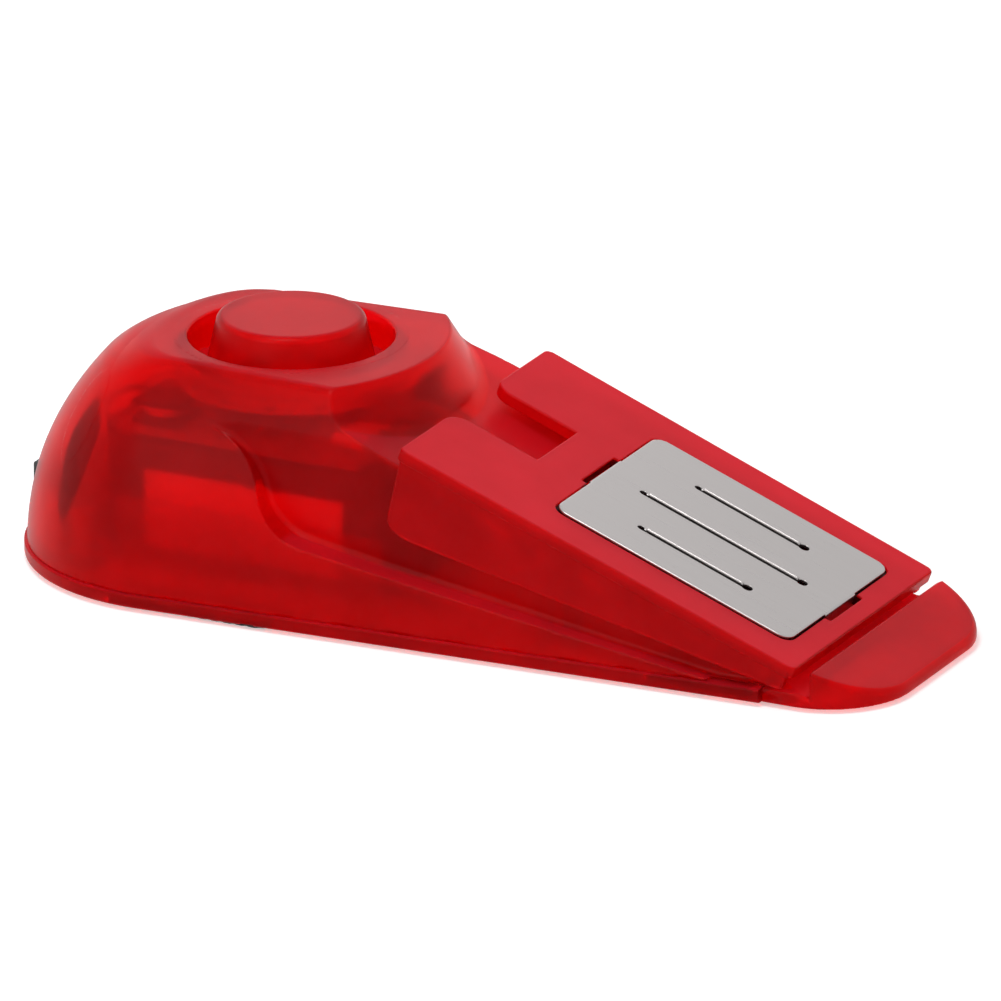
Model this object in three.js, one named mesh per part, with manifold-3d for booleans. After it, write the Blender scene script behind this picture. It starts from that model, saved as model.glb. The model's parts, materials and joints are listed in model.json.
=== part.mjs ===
// Door stop alarm: a clear red wedge with a siren in its heel and a sprung flap that a door presses.
// Millimetres. +X points to the toe, +Z is up, and the origin is under the middle of the part.
import * as THREE from 'three';
import Module from 'manifold-3d';
import { mergeVertices } from 'three/addons/utils/BufferGeometryUtils.js';

const wasm = await Module();
wasm.setup();

// Counts and angles
const heelSteps = 32;
const cornerSteps = 6;
const heightSteps = 14;
const roundSteps = 48;
const smallSteps = 16;
const wireSides = 8;
const wireSteps = 12;
const quarterTurn = Math.PI / 2;
const halfTurn = Math.PI;
const degree = Math.PI / 180;

// Clearances
const touchGap = 0.3;
const slideGap = 0.4;
const overrun = 3;

// Base outline, seen from above
const bodyLength = 142;
const heelRadius = 27.6;
const heelDepth = 27.15;
const toeHalfWidth = 22.7;
const toeCornerRadius = 12.6;
const toeTipHalfWidth = 22.1;
const toeShoulder = 0.5;
const rimStep = 0.4;
const knobProud = 0.45;

// Heel tower
const roofHeight = 35;
const roofHalfWidth = 17.1;
const roofHeelRadius = 11.05;
const roofFlareAngle = 3.1 * degree;
const sidePower = 2.2;
const heelPower = 2.28;
const shellWall = 2;
const roofFrontRadius = 27.6;
const roofFrontSetback = 62;
const coneAngle = 31.5 * degree;

// Siren in the roof
const sirenSetback = 39.9;
const recessRadius = 14.8;
const recessDepth = 5;
const recessWall = 1.6;
const capTopRadius = 10.7;
const capFootRadius = 12.2;
const capRise = 3.1;
const capEdge = 0.8;
const capWall = 1.4;
const soundHoleRadius = 0.7;
const soundHoles = 12;
const soundBore = 9.4;
const piezoRadius = 10.4;
const piezoThickness = 0.35;
const ceramicRadius = 7;
const ceramicThickness = 0.3;
const retainerWidth = 1.4;
const retainerHeight = 2;

// Flap and the wedge slope
const flapRearSetback = 68.8;
const flapFrontSetback = 11.6;
const flapRearHeight = 29.9;
const flapFrontHeight = 6.56;
const flapRearHalfWidth = 23.6;
const flapFrontHalfWidth = 22.9;
const flapThickness = 1.8;
const flapCornerRadius = 1.2;
const flapSwing = 1.6 * degree;
const prongRadius = 3;
const notchHalfWidth = 6.3;
const notchDepth = 14.1;
const skirtStep = 0.4;
const skirtWall = 1.5;
const skirtRearDrop = 12.7;
const skirtRearLean = 2.2;
const skirtCorner = 1.9;
const skirtSlope = 0.2237;
const skirtLowest = 3.15;
const skirtFrontGap = 0.9;

// Deck under the flap, toe and side band
const deckDrop = 3.9;
const toeGap = 1.5;
const toeStart = 17.1;
const bandUpperRadius = 10.2;
const bandLowerRadius = 8.6;
const bandTop = 27.4;
const bandStartSetback = 36.7;
const bandTilt = 13 * degree;
const bandAngle = 9 * degree;
const bandLowest = 2.8;
const pocketFlareSetback = 66;
const pocketWaistSetback = 42;
const pocketWaistY = 20.8;
const pocketFadeSetback = 32;
const pocketFadeY = 21.35;

// Hinge pin of the flap
const pinSetback = 17;
const pinRadius = 0.8;
const pinGap = 0.3;
const pinEndWall = 0.7;

// Steel contact plate
const plateLength = 39.2;
const plateFrontMargin = 4.37;
const plateHalfWidth = 16.45;
const plateThickness = 0.45;
const plateRise = 0.3;
const plateCorner = 2;
const tabHalfWidth = 4.8;
const tabReach = 2.2;
const tabSlotLength = 1.3;
const slitWidth = 0.55;
const slitPitch = 9.2;
const slitLongLength = 26.7;
const slitShortLength = 17.8;
const slitRearHole = 0.5;
const slitFrontHole = 0.8;
const lipWidth = 0.6;
const lipHeight = 0.3;

// Return spring and its well
const springShare = 0.5018;
const springRadius = 3;
const springWire = 0.35;
const springCurls = 5;
const springCurlSteps = 8;
const springSides = 5;
const wellGap = 0.9;
const wellWall = 1.3;
const wellDepth = 7;
const pegHeight = 1.4;
const pegGap = 0.6;

// Base plate, battery door and pads
const padRise = 0.6;
const padThickness = 1.2;
const plateBaseThickness = 2;
const doorThickness = 1.8;
const doorSideGap = 0.4;
const doorPinRadius = 0.5;
const doorPinGap = 0.25;
const doorPinHeight = 1;
const doorPinLength = 1.1;
const doorNose = 0.9;
const doorHingeGap = 0.75;
const doorLipLength = 3;
const doorLipHalfWidth = 5;
const doorPadThickness = 0.7;
const doorPadInset = 4;
const railWall = 1.2;
const railHeight = 9.5;
const rearPadStart = 23;
const rearPadLength = 26;
const rearPadWidth = 5;
const rearPadInset = 1.7;
const frontPadSetback = 19.7;
const frontPadLength = 17;
const frontPadInset = 2.4;
const padSink = 0.6;

// Battery, a common 9 V block, and its snap connector
const batteryLength = 46.4;
const batteryWidth = 26.5;
const batteryHeight = 17.5;
const batteryCorner = 2;
const batteryRearSetback = 14.2;
const bayGap = 0.5;
const terminalSpacing = 12.95;
const terminalHeight = 2.1;
const terminalMaleRadius = 2.8;
const terminalFemaleRadius = 3.6;
const snapLength = 4.6;
const snapHalfWidth = 12.4;
const snapHeight = 12.6;

// Boards and what is on them
const boardThickness = 1.2;
const boardRearReach = 18.9;
const boardFrontReach = 19.1;
const boardHalfWidth = 16.8;
const boardLift = 1.6;
const boardBossRadius = 1.9;
const boardBossShift = 14.4;
const chipLength = 9.6;
const chipWidth = 6.4;
const chipHeight = 1.9;
const chipPinPitch = 2.54;
const chipPins = 4;
const pinThick = 0.5;
const coilSize = 7.4;
const coilHeight = 3.2;
const coilCoreRadius = 2.2;
const coilFlange = 0.7;
const transistorRadius = 2.3;
const transistorHeight = 4.6;
const transistorFlat = 1.2;
const capacitorRadius = 2.5;
const capacitorHeight = 4.4;
const resistorRadius = 0.9;
const resistorLength = 5;
const resistorPitch = 3.2;
const partSeat = 0.3;
const coilReach = 13.5;
const capacitorReach = 15.4;
const capacitorPlaceY = 13.6;
const cornerPlaceY = 12.2;
const frontPartsReach = 15.9;

// Slide switch in the heel
const switchHeight = 8.8;
const switchHalfWidth = 4.3;
const switchDepth = 4.2;
const switchTall = 4.8;
const switchBoardHalfWidth = 10;
const switchBoardHeight = 15.5;
const switchBoardGap = 2.2;
const guideWall = 1.2;
const guideHeight = 6;
const knobWidth = 3.4;
const knobHeight = 3.2;
const knobTravel = 3;
const knobFlange = 1;
const knobFlangeMargin = 0.9;
const knobFlangeGap = 1.5;
const knobRib = 0.35;
const knobRibs = 3;

// Trigger switch under the flap
const triggerShare = 0.2171;
const plungerRadius = 1.5;
const plungerGap = 0.4;
const plungerFlangeRadius = 2.6;
const plungerFlange = 0.9;
const triggerSize = 6.4;
const triggerHeight = 4.2;
const triggerPedestalHeight = 7.6;
const pedestalWall = 1.4;

// Screws and posts
const rearPostSetback = 16;
const rearPostY = 17.5;
const frontPostShare = 0.3772;
const frontPostY = 14.6;
const postRadius = 3.2;
const screwHeadRadius = 2.3;
const screwHeadHeight = 1.3;
const screwShankRadius = 1.1;
const screwLength = 8;
const screwSink = 0.5;
const postFootGap = 1.6;
const screwSlotWidth = 0.6;
const smallScrewHead = 1.8;
const smallScrewShank = 0.8;
const smallScrewLength = 3.4;
const smallScrewHeadHeight = 0.9;

// Leads
const leadRadius = 0.55;
const thinLeadRadius = 0.35;

// Places that follow from the sizes
const heelX = -bodyLength / 2;
const toeX = bodyLength / 2;
const heelCentreX = heelX + knobProud + heelDepth;
const toeCentreX = toeX - toeCornerRadius;
const sirenX = heelX + sirenSetback;
const coneX = heelX + roofFrontSetback - roofFrontRadius;
const baseBottom = padRise;
const baseTop = baseBottom + plateBaseThickness;
const shellBottom = baseTop + touchGap;
const flapRearX = heelX + flapRearSetback;
const flapFrontX = toeX - flapFrontSetback;
const flapRun = flapFrontX - flapRearX;
const wedge = (flapRearHeight - flapFrontHeight) / flapRun;
const wedgeAngle = Math.atan(wedge);
const toeRearX = flapFrontX + toeGap;
const toeBlockX = toeX - toeStart;
const deckWall = shellWall / Math.cos(wedgeAngle);
const pinX = toeX - pinSetback;
const springX = THREE.MathUtils.lerp(flapRearX, pinX, springShare);
const triggerX = THREE.MathUtils.lerp(flapRearX, pinX, triggerShare);
const frontPostX = THREE.MathUtils.lerp(flapRearX, pinX, frontPostShare);
const rearPostX = heelX + rearPostSetback;
const bandStartX = heelX + bandStartSetback;
const pocketFlareX = heelX + pocketFlareSetback;
const pocketWaistX = heelX + pocketWaistSetback;
const pocketFadeX = heelX + pocketFadeSetback;
const recessFloor = roofHeight - recessDepth;
const recessUnder = recessFloor - recessWall;
const batteryBottom = baseBottom + doorThickness + doorPadThickness + touchGap + touchGap;
const batteryTop = batteryBottom + batteryHeight;
const batteryRearX = heelX + batteryRearSetback;
const batteryFrontX = batteryRearX + batteryLength;
const batteryMidZ = batteryBottom + batteryHeight / 2;
const boardBottom = batteryTop + boardLift;
const boardTop = boardBottom + boardThickness;
const boardRearX = sirenX - boardRearReach;
const boardFrontX = sirenX + boardFrontReach;
const coilPlaceX = sirenX - coilReach;
const capacitorPlaceX = sirenX - capacitorReach;
const frontPlaceX = sirenX + frontPartsReach;
const bayHalfWidth = batteryWidth / 2 + bayGap;
const snapRearX = batteryFrontX + terminalHeight + touchGap;
const snapFrontX = snapRearX + snapLength;

// Height of the flap's upper face, and of the deck below it, at a place along the part
function flapZ(x) {
  return flapRearHeight - wedge * (x - flapRearX);
}
function deckZ(x) {
  return flapZ(x) - deckDrop;
}
const pinZ = deckZ(pinX);

// Half width of the flap, and of the recessed wall inside its skirts
function flapHalf(x) {
  return THREE.MathUtils.mapLinear(x, flapRearX, flapFrontX, flapRearHalfWidth, flapFrontHalfWidth);
}
function pocketY(x) {
  return flapHalf(x) - skirtStep - skirtWall - slideGap;
}

// Solids: meshes go in and out of the boolean kernel
function signedVolume(position, index) {
  const [a, b, c] = [new THREE.Vector3(), new THREE.Vector3(), new THREE.Vector3()];
  let sum = 0;
  for (let i = 0; i < index.count; i += 3) {
    a.fromBufferAttribute(position, index.getX(i));
    b.fromBufferAttribute(position, index.getX(i + 1));
    c.fromBufferAttribute(position, index.getX(i + 2));
    sum += a.dot(b.cross(c));
  }
  return sum;
}
function toSolid(geometry) {
  const bare = geometry.clone();
  for (const name of Object.keys(bare.attributes)) {
    if (name !== 'position') bare.deleteAttribute(name);
  }
  const merged = mergeVertices(bare);
  const turned = signedVolume(merged.attributes.position, merged.index) < 0;
  const triVerts = Uint32Array.from(merged.index.array);
  if (turned) triVerts.reverse();
  const vertProperties = Float32Array.from(merged.attributes.position.array);
  return new wasm.Manifold(new wasm.Mesh({ numProp: 3, vertProperties, triVerts }));
}
function toGeometry(solid) {
  const mesh = solid.getMesh();
  const geometry = new THREE.BufferGeometry();
  geometry.setAttribute('position', new THREE.BufferAttribute(Float32Array.from(mesh.vertProperties), 3));
  geometry.setIndex(new THREE.BufferAttribute(Uint32Array.from(mesh.triVerts), 1));
  return geometry;
}
function join(first, ...others) {
  return others.reduce((sum, next) => sum.add(next), first);
}
function cut(first, ...others) {
  return others.reduce((rest, next) => rest.subtract(next), first);
}

// Basic solids
function block(x0, x1, y0, y1, z0, z1) {
  const box = new THREE.BoxGeometry(x1 - x0, y1 - y0, z1 - z0);
  return toSolid(box.translate((x0 + x1) / 2, (y0 + y1) / 2, (z0 + z1) / 2));
}
function rod(radius, z0, z1, x = 0, y = 0, steps = smallSteps) {
  const cylinder = new THREE.CylinderGeometry(radius, radius, z1 - z0, steps);
  return toSolid(cylinder.rotateX(quarterTurn).translate(x, y, (z0 + z1) / 2));
}
function crossRod(radius, y0, y1, x, z, steps = smallSteps) {
  const cylinder = new THREE.CylinderGeometry(radius, radius, y1 - y0, steps);
  return toSolid(cylinder.translate(x, (y0 + y1) / 2, z));
}
function longRod(radius, x0, x1, y, z, steps = smallSteps) {
  const cylinder = new THREE.CylinderGeometry(radius, radius, x1 - x0, steps);
  return toSolid(cylinder.rotateZ(quarterTurn).translate((x0 + x1) / 2, y, z));
}
function turned(profile, x = 0, y = 0, steps = roundSteps) {
  const points = profile.map(([r, z]) => new THREE.Vector2(r, z));
  return toSolid(new THREE.LatheGeometry(points, steps).rotateX(quarterTurn).translate(x, y, 0));
}
function raised(shape, z0, z1) {
  const options = { depth: z1 - z0, bevelEnabled: false, curveSegments: cornerSteps };
  return toSolid(new THREE.ExtrudeGeometry(shape, options).translate(0, 0, z0));
}
function sideways(shape, y0, y1) {
  const options = { depth: y1 - y0, bevelEnabled: false, curveSegments: cornerSteps };
  return toSolid(new THREE.ExtrudeGeometry(shape, options).rotateX(quarterTurn).translate(0, y1, 0));
}
function polygon(points) {
  return new THREE.Shape(points.map(([x, y]) => new THREE.Vector2(x, y)));
}
function arc(cx, cy, radius, from, to, steps) {
  const points = [];
  for (let i = 0; i <= steps; i += 1) {
    const angle = from + (to - from) * (i / steps);
    points.push([cx + radius * Math.cos(angle), cy + radius * Math.sin(angle)]);
  }
  return points;
}
function roundedRectangle(x0, x1, y0, y1, radius) {
  return polygon([
    ...arc(x1 - radius, y0 + radius, radius, -quarterTurn, 0, cornerSteps),
    ...arc(x1 - radius, y1 - radius, radius, 0, quarterTurn, cornerSteps),
    ...arc(x0 + radius, y1 - radius, radius, quarterTurn, halfTurn, cornerSteps),
    ...arc(x0 + radius, y0 + radius, radius, halfTurn, halfTurn + quarterTurn, cornerSteps),
  ]);
}
function lofted(rings) {
  const count = rings[0].length;
  const corners = rings.flat();
  const middle = (ring) => ring.reduce((sum, p) => sum.add(p), new THREE.Vector3()).divideScalar(count);
  const foot = corners.length;
  const head = foot + 1;
  const all = [...corners, middle(rings[0]), middle(rings[rings.length - 1])];
  const faces = [];
  for (let i = 0; i < count; i += 1) {
    const next = (i + 1) % count;
    faces.push(foot, next, i);
    const last = (rings.length - 1) * count;
    faces.push(head, last + i, last + next);
    for (let k = 0; k < rings.length - 1; k += 1) {
      const [low, high] = [k * count, (k + 1) * count];
      faces.push(low + i, low + next, high + next, low + i, high + next, high + i);
    }
  }
  const geometry = new THREE.BufferGeometry().setFromPoints(all);
  geometry.setIndex(faces);
  return toSolid(geometry);
}

// A lead is a round tube on a smooth curve through its points, which are told from the siren's axis
function lead(points, radius) {
  const curve = new THREE.CatmullRomCurve3(points.map(([x, y, z]) => new THREE.Vector3(sirenX + x, y, z)));
  const section = polygon(arc(0, 0, radius, 0, 2 * halfTurn * (1 - 1 / wireSides), wireSides - 1));
  return new THREE.ExtrudeGeometry(section, { steps: wireSteps, extrudePath: curve, bevelEnabled: false });
}

// One level of the outside: a round heel, straight sides and a toe with round corners
function outline(z, inset) {
  const share = Math.max(0, (z - baseBottom) / (roofHeight - baseBottom));
  const side = share ** sidePower;
  const heel = share ** heelPower;
  const run = toeCentreX - heelCentreX;
  const roofToe = roofHalfWidth + run * Math.tan(roofFlareAngle);
  const a = THREE.MathUtils.lerp(heelDepth, roofHeelRadius, heel) - inset;
  const b = THREE.MathUtils.lerp(heelRadius, roofHalfWidth, side) - inset;
  const toe = THREE.MathUtils.lerp(toeHalfWidth, roofToe, side) - inset;
  const corner = toeCornerRadius - inset;
  const tilt = Math.asin((b - toe) / run);
  const front = quarterTurn - tilt;
  const points = [
    ...arc(toeCentreX, -toe + corner, corner, -front, 0, cornerSteps),
    ...arc(toeCentreX, toe - corner, corner, 0, front, cornerSteps),
  ];
  for (let i = 0; i <= heelSteps; i += 1) {
    const angle = front + (2 * halfTurn - 2 * front) * (i / heelSteps);
    points.push([heelCentreX + a * Math.cos(angle), b * Math.sin(angle)]);
  }
  return points;
}
function outsideForm(inset, z0, z1) {
  const rings = [];
  for (let k = 0; k <= heightSteps; k += 1) {
    const z = z0 + (z1 - z0) * (k / heightSteps);
    rings.push(outline(z, inset).map(([x, y]) => new THREE.Vector3(x, y, z)));
  }
  return lofted(rings);
}

// What is cut away above the deck, ahead of the cone that fronts the tower
function aboveDeck(wall) {
  const drop = wall > 0 ? deckWall : 0;
  const low = (x) => deckZ(x) - drop;
  const top = roofHeight + overrun;
  const far = toeX + overrun;
  const profile = polygon([
    [coneX, low(coneX)],
    [toeRearX, low(toeRearX)],
    [toeRearX, flapZ(toeRearX) - drop],
    [far, flapZ(far) - drop],
    [far, Math.max(top, low(coneX) + overrun)],
    [coneX, Math.max(top, low(coneX) + overrun)],
  ]);
  const reach = heelRadius + overrun;
  const radius = (z) => roofFrontRadius - wall + (roofHeight - z) * Math.tan(coneAngle);
  const cone = turned([[0, 0], [radius(0), 0], [radius(top), top], [0, top]], coneX);
  return cut(sideways(profile, -reach, reach), cone);
}

// Recess for the flap's skirt on one side, bounded by the band with its S-shaped edge
function pocket(side, wall) {
  const centreZ = bandTop - bandUpperRadius;
  const span = bandUpperRadius + bandLowerRadius;
  const lowX = bandStartX + span * Math.cos(bandTilt);
  const lowZ = centreZ + span * Math.sin(bandTilt);
  const bandEnd = halfTurn + quarterTurn - bandAngle;
  const highArc = arc(bandStartX, centreZ, bandUpperRadius - wall, quarterTurn, bandTilt, cornerSteps);
  const lowArc = arc(lowX, lowZ, bandLowerRadius + wall, halfTurn + bandTilt, bandEnd, cornerSteps);
  const [lastX, lastZ] = lowArc[lowArc.length - 1];
  const floor = bandLowest - wall;
  const floorX = lastX + (lastZ - floor) / Math.tan(bandAngle);
  const rearX = heelCentreX - wall;
  const frontX = toeRearX + wall;
  const up = roofHeight + overrun;
  const profile = [
    [rearX, up],
    [rearX, bandTop - wall],
    ...highArc,
    ...lowArc,
    [Math.min(floorX, frontX), floor],
    [frontX, floor],
    [frontX, up],
  ];
  const slab = sideways(polygon(profile), 0, heelRadius + overrun);
  const [farRear, farFront] = [rearX - overrun, frontX + overrun];
  const fade = (pocketFadeY - pocketWaistY) / (pocketWaistX - pocketFadeX);
  const inner = polygon([
    [farRear, -overrun],
    [farFront, -overrun],
    [farFront, pocketY(farFront) - wall],
    [pocketFlareX, pocketY(pocketFlareX) - wall],
    [pocketWaistX, pocketWaistY - wall],
    [farRear, pocketWaistY + fade * (pocketWaistX - farRear) - wall],
  ]);
  const outer = cut(slab, raised(inner, floor - overrun, up + overrun));
  return side > 0 ? outer : outer.mirror([0, 1, 0]);
}

// Upper housing: a hollow shell with its posts, recess, spring well and openings
function toeForm() {
  const r = toeCornerRadius;
  const shoulder = toeHalfWidth - toeShoulder;
  const corner = toeTipHalfWidth - r;
  const shape = polygon([
    [toeBlockX, -shoulder],
    ...arc(toeX - r, -corner, r, -quarterTurn, 0, cornerSteps),
    ...arc(toeX - r, corner, r, 0, quarterTurn, cornerSteps),
    [toeBlockX, shoulder],
  ]);
  return raised(shape, baseBottom, roofHeight);
}
function upperHousing() {
  const toe = toeForm();
  const besideToe = cut(block(toeBlockX, toeX + overrun, -heelRadius, heelRadius, 0, roofHeight), toe);
  const outside = cut(
    outsideForm(rimStep, shellBottom, roofHeight),
    aboveDeck(0), pocket(1, 0), pocket(-1, 0), besideToe,
  );
  const cavityTop = roofHeight - shellWall;
  const cavity = cut(
    outsideForm(rimStep + shellWall, 0, cavityTop),
    aboveDeck(shellWall), pocket(1, shellWall), pocket(-1, shellWall),
    block(toeBlockX - shellWall, toeX + overrun, -heelRadius, heelRadius, -overrun, roofHeight),
  );
  const cup = rod(recessRadius + recessWall, recessUnder, roofHeight - overrun / 2, sirenX, 0, roundSteps);
  const postFoot = shellBottom + postFootGap;
  const posts = screwPlaces().map(([x, y]) => rod(postRadius, postFoot, roofHeight, x, y));
  const wellRadius = springRadius + springWire + wellGap;
  const wellFloor = deckZ(springX) - wellDepth;
  const well = rod(wellRadius + wellWall, wellFloor - wellWall, roofHeight, springX);
  const inside = join(cup, ...posts, well).intersect(outside);
  const toeLow = toe.intersect(block(toeBlockX, toeX, -heelRadius, heelRadius, 0, shellBottom + overrun));
  const toeSolid = cut(toeLow, aboveDeck(0), pocket(1, 0), pocket(-1, 0));
  return cut(
    join(cut(outside, cavity), inside, toeSolid, ...boardBosses()),
    rod(recessRadius, recessFloor, roofHeight + overrun, sirenX, 0, roundSteps),
    rod(soundBore, recessUnder - overrun, roofHeight, sirenX, 0, roundSteps),
    ...soundHoleCuts(),
    rod(wellRadius, wellFloor, roofHeight, springX),
    rod(plungerRadius + plungerGap, shellBottom, roofHeight, triggerX),
    crossRod(pinRadius + pinGap, -heelRadius, heelRadius, pinX, pinZ),
    ...screwPlaces().map(([x, y]) => rod(screwShankRadius + touchGap, 0, screwTip() + touchGap, x, y)),
    ...boardScrewPlaces().map(([x, y]) => rod(smallScrewShank + touchGap / 2, 0, smallScrewTip() + touchGap, x, y)),
    knobSlot(),
  );
}
function screwPlaces() {
  return [
    [rearPostX, -rearPostY], [rearPostX, rearPostY],
    [frontPostX, -frontPostY], [frontPostX, frontPostY],
  ];
}
function screwTip() {
  return baseBottom + screwSink + screwHeadHeight + screwLength;
}
function boardScrewPlaces() {
  return [[sirenX - boardBossShift, 0], [sirenX + boardBossShift, 0]];
}
function smallScrewTip() {
  return boardBottom - touchGap + smallScrewLength;
}
function boardBosses() {
  return boardScrewPlaces().map(([x, y]) => rod(boardBossRadius, boardTop + touchGap, recessFloor, x, y));
}
function soundHoleCuts() {
  const radius = (capFootRadius + recessRadius) / 2;
  const holes = [];
  for (let i = 0; i < soundHoles; i += 1) {
    const angle = (i + 0.5) * (2 * halfTurn / soundHoles);
    const [x, y] = [sirenX + radius * Math.cos(angle), radius * Math.sin(angle)];
    holes.push(rod(soundHoleRadius, recessUnder - overrun, recessFloor + overrun, x, y, wireSides));
  }
  return holes;
}

// Base plate: rim, battery opening with rails, screw bosses, guides and pad seats
function doorFrontX() {
  return batteryFrontX + bayGap;
}
function doorPinX() {
  return doorFrontX() - doorNose;
}
function doorHoleFrontX() {
  return doorFrontX() + doorHingeGap;
}
function doorHoleRearX() {
  return batteryRearX - bayGap;
}
function basePlate() {
  const frontX = toeBlockX - touchGap;
  const flat = cut(
    raised(polygon(outline(0, 0)), baseBottom, baseTop),
    block(frontX, toeX + overrun, -heelRadius, heelRadius, 0, baseTop + overrun),
  );
  const [holeRear, holeFront] = [doorHoleRearX(), doorHoleFrontX()];
  const bossTop = shellBottom + postFootGap - touchGap;
  const bosses = screwPlaces().map(([x, y]) => rod(postRadius, baseBottom, bossTop, x, y));
  const railStart = rearPostX + postRadius + touchGap;
  const rails = [-1, 1].map((side) => {
    const near = side * (bayHalfWidth + doorSideGap);
    const far = side * (bayHalfWidth + doorSideGap + railWall);
    return block(railStart, holeFront, Math.min(near, far), Math.max(near, far), baseBottom, baseTop + railHeight);
  });
  const stopTop = baseTop + railHeight;
  const rearStop = block(holeRear - railWall, holeRear, -bayHalfWidth / 2, bayHalfWidth / 2, baseBottom, stopTop);
  const pinHole = doorPinRadius + doorPinGap;
  const pinReach = bayHalfWidth + doorPinLength + doorSideGap;
  const solid = join(flat, ...bosses, ...rails, rearStop, ...boardGuides(), pedestal());
  const head = screwHeadRadius + touchGap;
  const headTop = baseBottom + screwSink + screwHeadHeight + touchGap;
  const hole = bayHalfWidth + doorSideGap;
  return cut(
    solid,
    block(holeRear, holeFront, -hole, hole, 0, baseTop + overrun),
    block(holeRear - doorLipLength, holeRear, -doorLipHalfWidth, doorLipHalfWidth, 0, baseBottom + doorThickness / 2),
    crossRod(pinHole, -pinReach, pinReach, doorPinX(), baseBottom + doorPinHeight),
    ...screwPlaces().map(([x, y]) => rod(head, 0, headTop, x, y)),
    ...screwPlaces().map(([x, y]) => rod(screwShankRadius + touchGap, 0, roofHeight, x, y)),
    ...padSeats(),
  );
}
function boardGuides() {
  const front = switchBoardFrontX();
  const rear = front - boardThickness;
  return [-1, 1].map((side) => {
    const edge = switchBoardHalfWidth;
    const [near, far] = [side * (edge - guideWall), side * (edge + guideWall + touchGap)];
    const [y0, y1] = [Math.min(near, far), Math.max(near, far)];
    const rib = block(rear - touchGap - guideWall, front + touchGap + guideWall, y0, y1, baseBottom, baseTop + guideHeight);
    const slotEdge = side * (edge + touchGap);
    const slot = block(rear - touchGap, front + touchGap,
      Math.min(near - side * overrun, slotEdge), Math.max(near - side * overrun, slotEdge),
      baseTop, baseTop + guideHeight + overrun);
    return cut(rib, slot);
  });
}
function pedestal() {
  const half = triggerSize / 2;
  const outer = block(triggerX - half, triggerX + half, -half, half, baseBottom, baseTop + triggerPedestalHeight);
  const room = half - pedestalWall;
  return cut(outer, block(triggerX - room, triggerX + room, -half - overrun, room, baseTop,
    baseTop + triggerPedestalHeight - pedestalWall));
}

// Anti-slip pads, sunk in seats under the base plate
function padOutlines() {
  const rearX0 = heelX + rearPadStart;
  const outerY = heelRadius - rearPadInset;
  const innerY = outerY - rearPadWidth;
  const frontX1 = toeX - frontPadSetback;
  const frontY = toeHalfWidth - frontPadInset;
  return {
    rear_pad_left: [rearX0, rearX0 + rearPadLength, -outerY, -innerY],
    rear_pad_right: [rearX0, rearX0 + rearPadLength, innerY, outerY],
    front_pad: [frontX1 - frontPadLength, frontX1, -frontY, frontY],
  };
}
function padSeats() {
  return Object.values(padOutlines()).map(([x0, x1, y0, y1]) => raised(
    roundedRectangle(x0 - touchGap, x1 + touchGap, y0 - touchGap, y1 + touchGap, plateCorner),
    0, baseBottom + padSink + touchGap,
  ));
}
function pad([x0, x1, y0, y1]) {
  return raised(roundedRectangle(x0, x1, y0, y1, plateCorner), 0, padThickness);
}

// Battery door with hinge pins at its front and a finger lip at its rear, and its foam pad
function batteryDoor() {
  const [rear, front] = [doorHoleRearX() + slideGap, doorFrontX()];
  const half = bayHalfWidth;
  const top = baseBottom + doorThickness;
  const panel = block(rear, front, -half, half, baseBottom, top);
  const pinZ0 = baseBottom + doorPinHeight;
  const pins = crossRod(doorPinRadius, -half - doorPinLength, half + doorPinLength, doorPinX(), pinZ0);
  const lipEnd = rear - doorLipLength + slideGap;
  const lipHalf = doorLipHalfWidth - slideGap;
  const lip = block(lipEnd, rear + slideGap, -lipHalf, lipHalf, baseBottom, baseBottom + doorThickness / 2 - touchGap);
  const grip = [];
  for (let i = 0; i < knobRibs; i += 1) {
    const x = rear + (i + 1) * knobTravel / 2;
    grip.push(block(x, x + knobRib, -lipHalf, lipHalf, 0, baseBottom + knobRib));
  }
  return cut(join(panel, pins, lip), ...grip);
}
function doorPad() {
  const top = baseBottom + doorThickness;
  const [x0, x1] = [batteryRearX + doorPadInset, batteryFrontX - doorPadInset];
  const half = bayHalfWidth - doorPadInset;
  return raised(roundedRectangle(x0, x1, -half, half, plateCorner), top + touchGap / 2, top + doorPadThickness);
}

// Siren: cap in the recess, brass and ceramic discs under it, and the ring that holds them
function sirenCap() {
  const top = roofHeight + capRise;
  const foot = recessFloor + touchGap;
  const edge = capTopRadius - capEdge;
  const inner = capTopRadius - capWall;
  const rim = arc(edge, top - capEdge, capEdge, 0, quarterTurn, cornerSteps);
  return turned([
    [0, top - capWall],
    [inner, top - capWall],
    [inner, foot],
    [capFootRadius, foot],
    [capFootRadius, foot + capEdge / 2],
    ...rim,
    [0, top],
  ], sirenX);
}
function piezoTop() {
  return recessUnder - touchGap;
}
function piezoRetainer() {
  const inner = ceramicRadius + retainerWidth;
  const outer = piezoRadius + retainerWidth;
  const top = piezoTop();
  const shelf = top - piezoThickness - touchGap;
  const low = shelf - retainerHeight / 2;
  const wall = piezoRadius + touchGap;
  return turned([[inner, low], [outer, low], [outer, top], [wall, top], [wall, shelf], [inner, shelf], [inner, low]],
    sirenX);
}

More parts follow.
